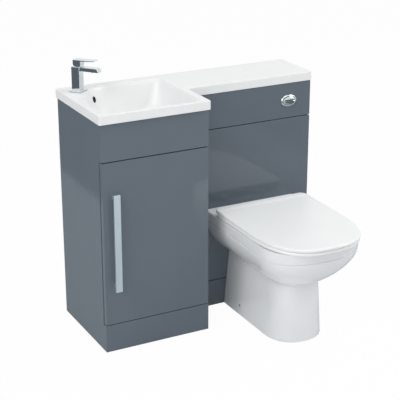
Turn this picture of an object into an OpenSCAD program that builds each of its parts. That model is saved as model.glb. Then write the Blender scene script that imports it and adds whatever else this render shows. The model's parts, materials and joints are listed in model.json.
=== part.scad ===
// Toilet and basin combination unit: a narrow vanity cupboard with a cast basin top,
// joined to a slim cabinet that hides the cistern behind a back-to-wall toilet pan.
//
// Every piece is drawn in one building frame: X runs right from the left end of the worktop,
// Y is 0 at the wall and negative into the room, and Z is up from the floor. place() then
// moves the whole unit so that its origin is under the middle of its footprint.

/* [Worktop] */
// Width of the whole unit, along the wall
total_w = 900; // [880:5:1000]
// Width of the worktop over the vanity cupboard
vanity_w = 400; // [395:1:420]
// Depth of the worktop over the vanity cupboard
vanity_depth = 378; // [375:1:400]
// Depth of the worktop over the toilet cabinet
wc_depth = 208; // [206:1:220]
// Height of the worktop above the floor
top_height = 837; // [837:1:860]
// Thickness of the worktop's edge
top_t = 31; // [28:1:34]
// Radius of the worktop's corners, seen from above
top_corner = 5; // [3:1:8]

/* [Basin] */
// Depth of the basin floor below the worktop
basin_depth = 112; // [105:1:114]
// Thickness of the cast basin wall
basin_wall = 8; // [7:0.5:9]
// Radius of the round overflow hole
overflow_r = 11; // [9:0.5:12]

/* [Cabinets] */
// Thickness of the side panels, shelves and rails
board = 18; // [16:1:18]
// Thickness of the vanity door
door_t = 18; // [18:1:20]
// Gap round the door, and between the front panels
gap = 3; // [2:0.5:3]
// Height of the plinths under the front panels
plinth_h = 100; // [90:5:110]
// Height of the seam above the door and the toilet panel
seam_h = 676.5; // [670:0.5:680]

/* [Door handle] */
// Length of the bar handle
handle_len = 342; // [320:2:350]
// Width of the bar handle
handle_w = 23; // [18:1:26]
// How far the front of the handle stands off the door
handle_reach = 30; // [26:1:32]

/* [Toilet pan] */
// Height of the pan's rim
rim_h = 382; // [380:1:384]
// Half of the width of the pan at its rim
pan_half_w = 181; // [176:1:183]
// Distance from the wall to the front of the pan
pan_reach = 727; // [722:1:732]
// Half of the width of the pan's foot on the floor
foot_half_w = 103; // [100:1:105]
// Height of the outlet's middle above the floor
outlet_h = 180; // [178:1:182]

/* [Seat and lid] */
// Half of the width of the lid
lid_half_w = 185; // [183:1:188]
// Distance from the wall to the front of the lid
lid_reach = 761; // [755:1:765]
// Distance between the two seat hinges
hinge_spacing = 155; // [145:5:165]

/* [Tap] */
// Height of the tap's body above the worktop
tap_body_h = 86; // [82:1:90]
// Reach of the spout's tip from the middle of the body
spout_reach = 87; // [84:1:92]
// Turn of the tap, from square to the worktop towards the front
tap_turn = -52; // [-60:1:-45]

/* [Hidden] */
$fn = 48;
eps = 0.5;

// Heights and depths of the cabinets
under_top = top_height - top_t;
side_inset = 6;
seam_inset = 4;
vanity_left = side_inset;
vanity_right = vanity_w - seam_inset;
wc_left = vanity_right;
wc_right = total_w - seam_inset;
door_front = -(vanity_depth - 7);
door_back = door_front + door_t;
carcass_front = door_back + gap;
fascia_front = door_front + 1;
wc_front = -(wc_depth - 2);
wc_inner = wc_front + board;
plinth_top = plinth_h - gap / 2;
panel_bottom = plinth_h + gap / 2;
seam_low = seam_h - gap / 2;
seam_high = seam_h + gap / 2;
front_rail_w = 60;
back_rail_h = 80;
seam_rail_low = 46;
seam_rail_high = 34;
back_panel_t = 6;
back_panel_top = 660;
shelf_z = 380;
shelf_t = 16;
shelf_front = -300;
shelf_gap = 1;
shelf_pin_r = 2.5;
shelf_pin_depth = 9;
shelf_pin_spots = [for (y = [-290, -40]) [y, shelf_z - shelf_pin_r]];

// Clearances: a running fit, a loose fit, and the gap under a pad that isn't quite touching
play = 0.05;
loose = 0.1;
rest_gap = 0.2;

// Angle brackets on the wall
bracket_z = 674;
bracket_leg = 40;
bracket_w = 24;
bracket_t = 2;
bracket_hole_x = 24;
bracket_hole_r = 2.75;

// Door hinges and bumpers
door_reveal = 2;
hinge_pin = [386.5, door_front + 8.5];
hinge_heights = [200, 576];
cup_r = 17.5;
cup_x = vanity_right - door_reveal - 20.5;
cup_depth = 13;
cup_fit = 0.1;
cup_flange_half = 16;
cup_flange_t = 1.2;
cup_slot_x = [371, 392];
cup_slot_half = 6.5;
arm_half = 5;
arm_inner_x = 371.8;
arm_t = 3.4;
knuckle_half = 2.5;
knuckle_r = 2.8;
hinge_pin_r = 1.5;
plate_y = [-335, -285];
plate_half_h = 24;
bumper_r = 4;
bumper_inset = [10, 15];

// Door handle
handle_left = 34.5;
handle_bottom = 229;
handle_bar_t = 8;
handle_post = 12;
handle_inset = 10;
handle_x = handle_left + handle_w / 2;
handle_screw_r = 2;
handle_screw_reach = 13;
screw_head_r = 4.5;
screw_head_t = 2.2;
handle_post_end = handle_inset + handle_post / 2;
handle_screw_z = [handle_bottom + handle_post_end, handle_bottom + handle_len - handle_post_end];

// Tap, in its own frame: +X along the spout, Z up from the worktop
tap_at = [57, -65];
tap_hole_r = 17.5;
tap_half = 15;
plate_half = 23.2;
plate_top = 5;
seal_t = 0.8;
spout_low = 73;
spout_lean = 6;
spout_half = 12;
aerator_x = 62;
aerator_r = 9;
aerator_bore = 6.5;
aerator_h = 5;
pivot_h = 80;
pivot_r = 1.5;
cartridge_r = 13;
cartridge_low = 52;
stem_r = 8;
stem_low = 66;
stem_top = 85.8;
stem_slot = 3.2;
slot_low = 73;
stem_pin_half = 6;
tongue_r = 3.5;
tongue_half = 3;
collar_low = -12;
collar_r = 16.5;
seal_inset = 0.7;
tail_ports = [[-6, 9], [-6, -9]];
tail_r = 4.6;
tail_top = 30;
feed_r = 3;
water_z = 79.5;
water_r = 4.5;
stud_at = [9, 0];
stud_r = 3.95;
stud_depth = 21.5;
stud_low = -84;
clamp_r = 21;
clamp_t = 4;
stud_nut_r = 7.5;
stud_nut_h = 10;

// Basin waste and trap
drain = [205, -200];
drain_r = 36;
seat_z = top_height - basin_depth - 3;
boss_r = 40;
boss_bottom = seat_z - 24;
waste_r = 21;
waste_bore = 17;
waste_hole_r = waste_r + 1.5;
flange_t = 2.5;
plug_r = 30;
plug_stem_r = 3.5;
flange_r = plug_r + 1.5;
slot_half = 6;
bridge_half = 5;
bridge_z = [seat_z - 38, seat_z - 30];
waste_seal_r = 31;
waste_seal_t = 4;
waste_nut_r = 29;
waste_nut_h = 10;
tail_bottom = seat_z - 82;
trap_h = 590;
trap_r = 34;
trap_socket = trap_r + 31;
trap_socket_r = 20;
trap_nut_r = [27, 25];
waste_pipe_r = 16;
waste_pipe_t = 2;
slim_pipe_r = 15;
pipe_in = 13;
plug_lift = 6;

// Overflow: its mouth on the basin wall, the way it runs into the wall, and its channel's corners
overflow_at = [118, -80, 802];
overflow_way = [-0.83, 0.56, 0];
channel_r = 5.5;
channel_wall = 4;
channel_z = boss_bottom + channel_r + channel_wall + 1;
channel_elbow = 1.2;
channel_route = [[106, -72, 800], [106, -72, channel_z], [192, -183, channel_z]];

// Cistern, flush valve and fill valve
pan_x = 650;
tank_x0 = 465;
tank_x1 = 835;
tank_y0 = -150;
tank_y1 = -22;
tank_z0 = 470;
tank_z1 = 770;
tank_wall = 4;
valve_y = -86;
fill_x = 520;
flush_r = 22.5;
flush_wall = 2.5;
outlet_thread_r = 30;
inlet_thread_r = 10.4;
cistern_lid_t = 4;
lid_overhang = 2;
valve_head_r = 28;
flush_bend = 50;
inlet_h = 335;
cone_r = 27.4;
valve_floor = tank_z0 + tank_wall;
cage_r = 34;
spigot_z = [tank_z1 + 22, tank_z1 + 30];
spigot_y = [valve_y - 8, valve_y + 8];
float_h = 60;
float_rest = valve_floor + 18;

// Flush button
button_x = 805.6;
button_z = 740.6;
button_half = [32, 22];
button_open = [25.5, 16.5];
button_plate = [24.5, 15.5];
barrel_r = 19;
barrel_end = -160;
barrel_wall = 3;
air_way_r = 1.2;
key_stem_r = 3;
key_stem_z = 6;
key_split = 0.4;
button_nut_r = 26;
button_nut_t = 8;
bezel_t = 4;
nipple_x = [button_x - 7, button_x + 7];
nipple_y = barrel_end - 6;
nipple_r = 2.5;
tube_top = button_z + 27;

// Pan, seat and lid
pan_back = wc_front - 0.5;
outlet_r = 51;
spigot_end = -222;
soil_r = 55;
inlet_boss_r = 35;
hinge_hole_r = 7;
pan_wall = 12;
groove_z = 341;
neck_z = 214;
hinge_y = -258;
hinge_z = 395;
seat_low = 385.5;
seat_high = 397.5;
seat_half_w = lid_half_w - 3;
seat_reach = lid_reach - 5;
seat_curve = 257;
seat_fullness = 2.8;
seat_back = -290;
lid_low = 399;
lid_high = 412;
lid_hollow = 5;
lid_curve = 266;
lid_fullness = 2.75;
lid_back = -278;
side_hole_y = -318;
side_hole_z = 34;
buffer_spots = [[145, -500], [105, -672]];
buffer_r = 7;
ear = 5;
ear_gap = 0.3;
lug = 10;
lug_r = 7;
post_r = 6;
foot_r = 13;
seat_pin_r = 3.5;

// The points of each air tube, from the button's spigot to the valve's
air_routes = [
    [[nipple_x[0], nipple_y, tube_top], [nipple_x[0], nipple_y, 776], [nipple_x[0] - 3, nipple_y + 3, 784],
     [nipple_x[0] - 12, nipple_y + 10, 790], [770, -138, 792], [735, -116, 792], [712, -98, 792],
     [703, spigot_y[0], 792], [pan_x + 42, spigot_y[0], 792]],
    [[nipple_x[1], nipple_y, tube_top], [nipple_x[1], nipple_y, 784], [nipple_x[1] - 2, nipple_y + 4, 793],
     [nipple_x[1] - 12, nipple_y + 14, 799], [778, -122, 800], [740, -96, 800], [714, -82, 800],
     [704, spigot_y[1], 800], [pan_x + 42, spigot_y[1], 800]]
];
air_tube_r = 2.2;

// The pan's outlines: half width, reach from the wall, length of the curved front and fullness
foot_low = [foot_half_w, 609, 115, 2.25];
foot_high = [82, 598, 120, 3];
neck = [86, 600, 160, 2.8];
belly = [pan_half_w - 2, pan_reach - 2, 142, 2.5];

// The bowl's inside: height, half width, front and back of each level
bowl_levels = [
    [88, 20, -502, -458], [110, 33, -514, -452], [150, 38, -530, -448], [195, 47, -558, -444],
    [225, 62, -596, -438], [260, 84, -640, -430], [300, 104, -672, -422], [340, 116, -692, -415],
    [374, 120, -699, -409], [383, 123, -702, -406]
];

// The passage from the bowl over the weir to the outlet, ending square in the spigot
trap_route = [
    [pan_x, -492, 100], [pan_x, -470, 120], [pan_x, -430, 170], [pan_x, -398, 205], [pan_x, -368, 214],
    [pan_x, -335, 208], [pan_x, -305, 188], [pan_x, -285, outlet_h], [pan_x, -262, outlet_h]
];
trap_bore = 30;
trap_outside = 39;

// ---- Shared shapes ----

// Moves the building frame's origin to the middle of the footprint
module place() {
    translate([-total_w / 2, lid_reach / 2, 0])
        children();
}

// A flat board between two corners
module slab(low, high) {
    translate(low)
        cube(high - low);
}

// A round bar between two points
module limb(from, to, r) {
    run = to - from;
    len = norm(run);
    translate(from)
        rotate([0, acos(run[2] / len), atan2(run[1], run[0])])
            cylinder(r = r, h = len);
}

// A round bar along Y
module along_y(x, z, y0, y1, r) {
    translate([x, y0, z])
        rotate([-90, 0, 0])
            cylinder(r = r, h = y1 - y0);
}

// A round bar along X
module along_x(x0, x1, y, z, r) {
    translate([x0, y, z])
        rotate([0, 90, 0])
            cylinder(r = r, h = x1 - x0);
}

// A tube standing on its end
module tube_z(z0, z1, r, bore) {
    translate([0, 0, z0])
        difference() {
            cylinder(r = r, h = z1 - z0);
            translate([0, 0, -eps])
                cylinder(r = bore, h = z1 - z0 + 2 * eps);
        }
}

function unit(v) = v / norm(v);
function wrap(angle) = angle > 180 ? angle - 360 : angle < -180 ? angle + 360 : angle;

// Points of an arc that rounds the corner b between its neighbours a and c
function corner_arc(a, b, c, r, steps) =
    let (
        u = unit(a - b),
        v = unit(c - b),
        half = acos(u * v) / 2,
        centre = b + unit(u + v) * r / sin(half),
        start = b + u * r / tan(half) - centre,
        end = b + v * r / tan(half) - centre,
        first = atan2(start[1], start[0]),
        sweep = wrap(atan2(end[1], end[0]) - first)
    )
    [for (i = [0:steps]) centre + r * [cos(first + sweep * i / steps), sin(first + sweep * i / steps)]];

// A closed outline with rounded corners, from corners given as [x, y, radius]
function rounded(corners, steps = 6) =
    let (n = len(corners))
    [for (i = [0:n - 1])
        let (
            a = corners[(i + n - 1) % n],
            b = corners[i],
            c = corners[(i + 1) % n]
        )
        for (p = corner_arc([a[0], a[1]], [b[0], b[1]], [c[0], c[1]], b[2], steps)) p];

// Each point moved part of the way from outline a to outline b
function blend(a, b, share) = [for (i = [0:len(a) - 1]) a[i] * (1 - share) + b[i] * share];

// A closed outline moved outwards, for outlines that run anticlockwise
function grow(ring, distance) =
    let (n = len(ring))
    [for (i = [0:n - 1])
        let (along = unit(ring[(i + 1) % n] - ring[(i + n - 1) % n]))
        ring[i] + distance * [along[1], -along[0]]];

function lift(ring, z) = [for (p = ring) [p[0], p[1], z]];

// A closed solid through level rings that have the same number of points, lowest ring first
module skin(rings) {
    n = len(rings[0]);
    top = len(rings) - 1;
    walls = [
        for (k = [0:top - 1])
            for (i = [0:n - 1])
                let (j = (i + 1) % n, low = k * n, high = (k + 1) * n)
                for (face = [[low + i, high + i, high + j], [low + i, high + j, low + j]]) face
    ];
    floor_face = [for (i = [0:n - 1]) i];
    top_face = [for (i = [n - 1:-1:0]) top * n + i];
    polyhedron([for (ring = rings) for (p = ring) p], concat(walls, [floor_face, top_face]));
}

// The plan of the pan, seat and lid: straight sides from the back, and a round front that is
// a superellipse of the given length and fullness. It runs anticlockwise from the back left.
function plan(half_w, reach, curve, fullness, back, corner = 1, steps = 28) =
    let (
        inner = half_w - corner,
        left = [for (a = [90:30:180]) [corner * cos(a) - inner, back - corner + corner * sin(a)]],
        right = [for (i = [3:-1:0]) [-left[i][0], left[i][1]]],
        front = [for (i = [0:steps])
            let (a = 180 - 180 * i / steps, across = cos(a))
            [half_w * sign(across) * pow(abs(across), 2 / fullness),
             curve - reach - curve * pow(sin(a), 2 / fullness)]]
    )
    [for (p = concat(left, front, right)) [pan_x + p[0], p[1]]];

// An egg-shaped outline between a front and a back distance from the wall
function egg(half_w, front, back, fullness = 2.3, steps = 36) =
    let (middle = (front + back) / 2)
    [for (i = [0:steps - 1])
        let (a = 360 * (i + 0.5) / steps, across = cos(a), along = sin(a))
        [pan_x + half_w * sign(across) * pow(abs(across), 2 / fullness),
         middle + (back - front) / 2 * sign(along) * pow(abs(along), 2 / fullness)]];

// A shape drawn to the right of the pan's middle, and its mirror image to the left
module both_sides() {
    translate([pan_x, 0, 0]) {
        children();
        mirror([1, 0, 0])
            children();
    }
}

// ---- Vanity cupboard ----

module vanity_left_side() {
    color("#646D76")
        place()
            difference() {
                slab([vanity_left, carcass_front, 0], [vanity_left + board, 0, under_top]);
                for (spot = shelf_pin_spots)
                    along_x(
                        vanity_left + board - shelf_pin_depth, vanity_left + board + eps,
                        spot[0], spot[1], shelf_pin_r + play
                    );
            }
}

module vanity_right_side() {
    color("#646D76")
        place()
            difference() {
                slab([vanity_right - board, carcass_front, 0], [vanity_right, 0, under_top]);
                for (spot = shelf_pin_spots)
                    along_x(
                        vanity_right - board - eps, vanity_right - board + shelf_pin_depth,
                        spot[0], spot[1], shelf_pin_r + play
                    );
            }
}

module vanity_base() {
    color("#D8D8D6")
        place()
            slab(
                [vanity_left + board, carcass_front, plinth_h],
                [vanity_right - board, 0, plinth_h + board]
            );
}

// Rails that tie the side panels together: one under the basin and one at the back of the
// vanity, and one behind the front seam and one at the back of the toilet cabinet
module cabinet_rails() {
    color("#D8D8D6")
        place() {
            slab(
                [vanity_left + board, carcass_front, seam_high],
                [vanity_right - board, carcass_front + front_rail_w, seam_high + board]
            );
            slab(
                [vanity_left + board, -board, under_top - back_rail_h],
                [vanity_right - board, 0, under_top]
            );
            slab(
                [wc_left + board, wc_inner, seam_h - seam_rail_low],
                [wc_right - board, wc_inner + board, seam_h + seam_rail_high]
            );
            slab([wc_left + board, -board, under_top - back_rail_h], [wc_right - board, 0, under_top]);
        }
}

module vanity_back_panel() {
    color("#D8D8D6")
        place()
            difference() {
                slab(
                    [vanity_left + board, -board, plinth_h + board],
                    [vanity_right - board, back_panel_t - board, back_panel_top]
                );
                along_y(drain[0], trap_h, -board - eps, back_panel_t - board + eps, 1.5 * waste_pipe_r);
            }
}

module vanity_fascia() {
    color("#646D76")
        place()
            slab([vanity_left, fascia_front, seam_high], [vanity_right, carcass_front, under_top]);
}

module vanity_plinth() {
    color("#646D76")
        place()
            slab([vanity_left, fascia_front, 0], [vanity_right, carcass_front, plinth_top]);
}

module vanity_shelf() {
    color("#D8D8D6")
        place()
            slab(
                [vanity_left + board + shelf_gap, shelf_front, shelf_z],
                [vanity_right - board - shelf_gap, -board - shelf_gap, shelf_z + shelf_t]
            );
}

// Four steel pins that carry the shelf
module shelf_pins() {
    color("silver")
        place()
            for (spot = shelf_pin_spots, face = [vanity_left + board, vanity_right - board])
                along_x(
                    face - shelf_pin_depth + eps, face + shelf_pin_depth - eps,
                    spot[0], spot[1], shelf_pin_r
                );
}

// An angle bracket on the inner face of a side panel, turned to the right or to the left
module angle_bracket(x, side) {
    translate([x, 0, bracket_z])
        mirror([side < 0 ? 1 : 0, 0, 0])
            difference() {
                union() {
                    slab([0, -bracket_leg, 0], [bracket_t, 0, bracket_w]);
                    slab([0, -bracket_t, 0], [bracket_leg, 0, bracket_w]);
                }
                along_y(bracket_hole_x, bracket_w / 2, -bracket_t - eps, eps, bracket_hole_r);
            }
}

// Brackets that hold both cabinets to the wall
module wall_brackets() {
    color("silver")
        place() {
            angle_bracket(vanity_left + board, 1);
            angle_bracket(vanity_right - board, -1);
            angle_bracket(wc_left + board, 1);
            angle_bracket(wc_right - board, -1);
        }
}

// ---- Door ----

module vanity_door() {
    color("#646D76")
        place()
            difference() {
                slab(
                    [vanity_left + door_reveal, door_front, panel_bottom],
                    [vanity_right - door_reveal, door_back, seam_low]
                );
                for (z = hinge_heights)
                    along_y(cup_x, z, door_back - cup_depth, door_back + eps, cup_r);
                for (z = handle_screw_z)
                    along_y(handle_x, z, door_front - eps, door_back + eps, handle_screw_r + 2 * play);
            }
}

// A flat bar on two square posts, which stand behind it near its ends
module door_handle() {
    front = door_front - handle_reach;
    half = handle_post / 2;
    color("silver")
        place()
            difference() {
                union() {
                    slab(
                        [handle_left, front, handle_bottom],
                        [handle_left + handle_w, front + handle_bar_t, handle_bottom + handle_len]
                    );
                    for (z = handle_screw_z)
                        slab(
                            [handle_x - half, front + 1, z - half],
                            [handle_x + half, door_front, z + half]
                        );
                }
                for (z = handle_screw_z)
                    along_y(
                        handle_x, z, door_front - handle_screw_reach - 1, door_front + eps,
                        handle_screw_r + play
                    );
            }
}

module handle_screws() {
    color("silver")
        place()
            for (z = handle_screw_z) {
                along_y(handle_x, z, door_front - handle_screw_reach, door_back, handle_screw_r);
                along_y(handle_x, z, door_back, door_back + screw_head_t, screw_head_r);
            }
}

// Hinge cups let into the back of the door, each with the pin that its arm turns on
module hinge_cups() {
    color("silver")
        place()
            for (z = hinge_heights) {
                difference() {
                    union() {
                        along_y(cup_x, z, door_back - cup_depth + cup_fit, door_back, cup_r - cup_fit);
                        slab(
                            [cup_x - cup_flange_half, door_back, z - plate_half_h],
                            [cup_x + cup_flange_half, door_back + cup_flange_t, z + plate_half_h]
                        );
                    }
                    slab(
                        [cup_slot_x[0], door_back - cup_depth, z - cup_slot_half],
                        [cup_slot_x[1], door_back + cup_flange_t + eps, z + cup_slot_half]
                    );
                }
                translate([hinge_pin[0], hinge_pin[1], z - cup_slot_half - eps])
                    cylinder(r = hinge_pin_r, h = 2 * (cup_slot_half + eps));
            }
}

// The fixed half of each hinge: a plate on the side panel, and an arm bent round to the pin
module hinge_arms() {
    color("silver")
        place()
            for (z = hinge_heights)
                difference() {
                    union() {
                        slab(
                            [arm_inner_x + arm_t, plate_y[0], z - plate_half_h],
                            [vanity_right - board, plate_y[1], z + plate_half_h]
                        );
                        slab(
                            [arm_inner_x, hinge_pin[1] - knuckle_half, z - arm_half],
                            [arm_inner_x + arm_t, plate_y[1], z + arm_half]
                        );
                        slab(
                            [arm_inner_x, hinge_pin[1] - knuckle_half, z - arm_half],
                            [hinge_pin[0], hinge_pin[1] + knuckle_half, z + arm_half]
                        );
                        translate([hinge_pin[0], hinge_pin[1], z - arm_half])
                            cylinder(r = knuckle_r, h = 2 * arm_half);
                    }
                    translate([hinge_pin[0], hinge_pin[1], z - arm_half - eps])
                        cylinder(r = hinge_pin_r + play, h = 2 * arm_half + 2 * eps);
                }
}

// Soft pads that the door closes against
module door_bumpers() {
    color("#C8CCD0")
        place()
            for (z = [panel_bottom + bumper_inset[1], seam_low - bumper_inset[1]])
                along_y(vanity_left + bumper_inset[0], z, door_back, door_back + gap - rest_gap, bumper_r);
}

// ---- Worktop and basin ----

function rim() = rounded([[14, -364, 34], [372, -364, 28], [372, -38, 34], [116, -38, 100], [32, -168, 100]]);
function waist() = rounded([[34, -341, 40], [366, -341, 34], [366, -46, 40], [124, -46, 98], [46, -172, 95]]);
function bowl_floor() = rounded([
    [62, -322, 60], [330, -322, 56], [330, -84, 60], [142, -84, 90], [78, -186, 90]
]);
function drain_ring() = [for (p = bowl_floor()) drain + drain_r * unit(p - drain)];

function below_top(depth) = top_height - depth;

// The shape of the water's side of the bowl, floor first
function bowl_rings() = [
    lift(drain_ring(), below_top(basin_depth + 3)),
    lift(bowl_floor(), below_top(basin_depth)),
    lift(blend(waist(), bowl_floor(), 0.75), below_top(basin_depth - 8)),
    lift(blend(waist(), bowl_floor(), 0.45), below_top(basin_depth - 26)),
    lift(blend(waist(), bowl_floor(), 0.2), below_top(60)),
    lift(waist(), below_top(31)),
    lift(blend(rim(), waist(), 0.4), below_top(11)),
    lift(rim(), below_top(3)),
    lift(grow(rim(), 3), below_top(0)),
    lift(grow(rim(), 3), below_top(-2))
];

// The underside of the bowl, one wall thickness further out
function shell_rings() = [
    lift(grow(bowl_floor(), 2), below_top(basin_depth + basin_wall)),
    lift(grow(blend(waist(), bowl_floor(), 0.75), basin_wall - 1), below_top(basin_depth + 1)),
    lift(grow(blend(waist(), bowl_floor(), 0.45), basin_wall), below_top(basin_depth - 22)),
    lift(grow(blend(waist(), bowl_floor(), 0.2), basin_wall), below_top(62)),
    lift(grow(waist(), basin_wall - 0.5), below_top(32)),
    lift(grow(waist(), basin_wall - 0.5), below_top(20))
];

function worktop_outline() = rounded([
    [0, 0, 2], [0, -vanity_depth, top_corner], [vanity_w, -vanity_depth, top_corner],
    [vanity_w, -wc_depth, 2], [total_w, -wc_depth, top_corner], [total_w, 0, 2]
], 5);

// The overflow's way down behind the bowl and under its floor to the waste
module overflow_channel(r) {
    for (i = [0, 1])
        limb(channel_route[i], channel_route[i + 1], r);
    translate(channel_route[1])
        sphere(r = r + channel_elbow);
}

// One casting: the L-shaped worktop with the bowl, the tap ledge and a hollow underside
module worktop_basin() {
    rim_t = 12;
    skin_t = 12;
    color("#F2F3F3")
        place()
            difference() {
                union() {
                    difference() {
                        translate([0, 0, under_top])
                            linear_extrude(top_t)
                                polygon(worktop_outline());
                        slab(
                            [vanity_w + rim_t, rim_t - wc_depth, under_top - eps],
                            [total_w - rim_t, -rim_t, top_height - skin_t]
                        );
                    }
                    skin(shell_rings());
                    translate([drain[0], drain[1], boss_bottom])
                        cylinder(r = boss_r, h = seat_z - boss_bottom);
                    overflow_channel(channel_r + channel_wall);
                    limb(
                        overflow_at + 2 * overflow_way, overflow_at + 24 * overflow_way,
                        overflow_r + channel_wall
                    );
                }
                skin(bowl_rings());
                translate([drain[0], drain[1], boss_bottom - eps])
                    cylinder(r = waste_hole_r, h = seat_z - boss_bottom + 18);
                translate([tap_at[0], tap_at[1], under_top - eps])
                    cylinder(r = tap_hole_r, h = top_t + 2 * eps);
                limb(overflow_at - 12 * overflow_way, overflow_at + 19 * overflow_way, overflow_r);
                overflow_channel(channel_r);
            }
}

// ---- Tap ----

// The tap's own frame: its middle on the worktop, +X along the spout
module at_tap() {
    place()
        translate([tap_at[0], tap_at[1], top_height])
            rotate([0, 0, tap_turn])
                children();
}

// A profile in the tap's side view, given a width
module side_view(points, half_w) {
    rotate([90, 0, 0])
        linear_extrude(2 * half_w, center = true)
            polygon(points);
}

module tap_body() {
    color("silver")
        at_tap()
            difference() {
                union() {
                    slab([-plate_half, -plate_half, seal_t], [plate_half, plate_half, plate_top]);
                    slab([-tap_half, -tap_half, plate_top], [tap_half, tap_half, tap_body_h]);
                    side_view([[tap_half - 1, spout_low], [spout_reach, spout_low],
                               [spout_reach - spout_lean, tap_body_h], [tap_half - 1, tap_body_h]],
                              spout_half);
                    translate([0, 0, collar_low])
                        cylinder(r = collar_r, h = 1 - collar_low);
                }
                translate([0, 0, cartridge_low])
                    cylinder(r = cartridge_r, h = 40);
                along_x(0, aerator_x, 0, water_z, water_r);
                translate([aerator_x, 0, spout_low - eps])
                    cylinder(r = aerator_r + play, h = aerator_h + eps);
                translate([aerator_x, 0, spout_low])
                    cylinder(r = water_r, h = water_z - spout_low);
                for (port = tail_ports)
                    translate([port[0], port[1], collar_low - eps]) {
                        cylinder(r = tail_r, h = tail_top - collar_low + eps);
                        cylinder(r = feed_r, h = cartridge_low - collar_low + 2 * eps);
                    }
                translate([stud_at[0], stud_at[1], collar_low - eps])
                    cylinder(r = stud_r + play, h = stud_depth + eps);
            }
}

module tap_base_seal() {
    color("#303236")
        at_tap()
            difference() {
                slab(
                    [seal_inset - plate_half, seal_inset - plate_half, 0],
                    [plate_half - seal_inset, plate_half - seal_inset, seal_t]
                );
                translate([0, 0, -eps])
                    cylinder(r = collar_r + loose, h = seal_t + 2 * eps);
            }
}

module tap_aerator() {
    color("silver")
        at_tap()
            translate([aerator_x, 0, 0])
                tube_z(spout_low - 1.5, spout_low + aerator_h, aerator_r, aerator_bore);
}

// The ceramic-disc cartridge that the lever turns and tilts
module tap_cartridge() {
    color("#D9DADC")
        at_tap()
            difference() {
                translate([0, 0, cartridge_low])
                    cylinder(r = cartridge_r - play, h = tap_body_h - cartridge_low - 2);
                translate([0, 0, stem_low])
                    cylinder(r = stem_r + play, h = 30);
                for (port = tail_ports)
                    translate([port[0], port[1], cartridge_low - eps])
                        cylinder(r = feed_r, h = 10);
            }
}

// The collar in the cartridge that swings with the lever, and the pin that the lever tilts on
module tap_stem() {
    color("#D9DADC")
        at_tap() {
            difference() {
                translate([0, 0, stem_low + rest_gap])
                    cylinder(r = stem_r, h = stem_top - stem_low - rest_gap);
                slab([-stem_r - 1, -stem_slot, slot_low], [stem_r + 1, stem_slot, stem_top + 1]);
            }
            translate([0, stem_pin_half, pivot_h])
                rotate([90, 0, 0])
                    cylinder(r = pivot_r, h = 2 * stem_pin_half);
        }
}

// The lever: a block with a rounded heel, a long plate that rises to its tip, and a tongue
module tap_lever() {
    heel = [[-4, 89], [-7, 91.8], [-9, 95.4]];
    plate_over = [[-9, 110.4], [40, 110.9], [73, 113]];
    plate_under = [[73.5, 110.4], [40, 107.4], [20, 106.6], [20, 89]];
    color("silver")
        at_tap()
            difference() {
                union() {
                    side_view(concat(heel, plate_over, plate_under), tap_half - 1);
                    slab([-tongue_r, -tongue_half, pivot_h], [tongue_r, tongue_half, 90]);
                    translate([0, tongue_half, pivot_h])
                        rotate([90, 0, 0])
                            cylinder(r = tongue_r, h = 2 * tongue_half);
                }
                translate([0, tongue_half + 1, pivot_h])
                    rotate([90, 0, 0])
                        cylinder(r = pivot_r + play, h = 2 * tongue_half + 2);
            }
}

// The threaded rod that pulls the tap down on the worktop
module tap_fixing_stud() {
    color("#B8A060")
        at_tap()
            translate([stud_at[0], stud_at[1], stud_low])
                cylinder(r = stud_r, h = collar_low + stud_depth - stud_low);
}

// The horseshoe washer and the nut under the worktop
module tap_fixing_clamp() {
    color("#B8A060")
        at_tap() {
            difference() {
                translate([0, 0, -top_t - clamp_t])
                    cylinder(r = clamp_r, h = clamp_t);
                slab([-clamp_r - 1, -clamp_r - 1, -top_t - clamp_t - 1], [1, clamp_r + 1, -top_t + 1]);
                translate([stud_at[0], stud_at[1], -top_t - clamp_t - 1])
                    cylinder(r = stud_r + 0.25, h = clamp_t + 2);
            }
            translate([stud_at[0], stud_at[1], -top_t - clamp_t - stud_nut_h])
                difference() {
                    cylinder(r = stud_nut_r, h = stud_nut_h, $fn = 6);
                    translate([0, 0, -1])
                        cylinder(r = stud_r + play, h = stud_nut_h + 2);
                }
        }
}

// ---- Basin waste and trap ----

module at_drain() {
    place()
        translate([drain[0], drain[1], 0])
            children();
}

// The flanged waste, with slots for the overflow and a bridge that guides the plug's stem
module waste_body() {
    color("silver")
        at_drain() {
            difference() {
                union() {
                    translate([0, 0, seat_z])
                        cylinder(r = flange_r, h = flange_t);
                    translate([0, 0, tail_bottom])
                        cylinder(r = waste_r, h = seat_z - tail_bottom + 1);
                }
                translate([0, 0, tail_bottom - eps])
                    cylinder(r = waste_bore, h = 90);
                slab([-waste_r - 1, -slot_half, channel_z - 5], [waste_r + 1, slot_half, channel_z + 5]);
            }
            difference() {
                slab(
                    [-waste_bore - eps, -bridge_half, bridge_z[0]],
                    [waste_bore + eps, bridge_half, bridge_z[1]]
                );
                translate([0, 0, bridge_z[0] - 1])
                    cylinder(r = plug_stem_r + play, h = bridge_z[1] - bridge_z[0] + 2);
            }
        }
}

// The plug, held up off its seat by its stem: pressing it down shuts the waste
module waste_plug() {
    under = seat_z + flange_t + plug_lift + 0.5;
    stem_foot = bridge_z[0] - 4;
    color("silver")
        at_drain() {
            translate([0, 0, under])
                cylinder(r = plug_r, h = 2);
            translate([0, 0, under + 2])
                cylinder(r1 = plug_r, r2 = plug_r - 8, h = 2.5);
            translate([0, 0, stem_foot])
                cylinder(r = plug_stem_r, h = under + eps - stem_foot);
        }
}

module waste_seal() {
    color("#303236")
        at_drain()
            tube_z(boss_bottom - waste_seal_t, boss_bottom, waste_seal_r, waste_r + loose);
}

module waste_nut() {
    color("silver")
        at_drain()
            translate([0, 0, boss_bottom - waste_seal_t])
                tube_z(-waste_nut_h, 0, waste_nut_r, waste_r + play);
}

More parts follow.
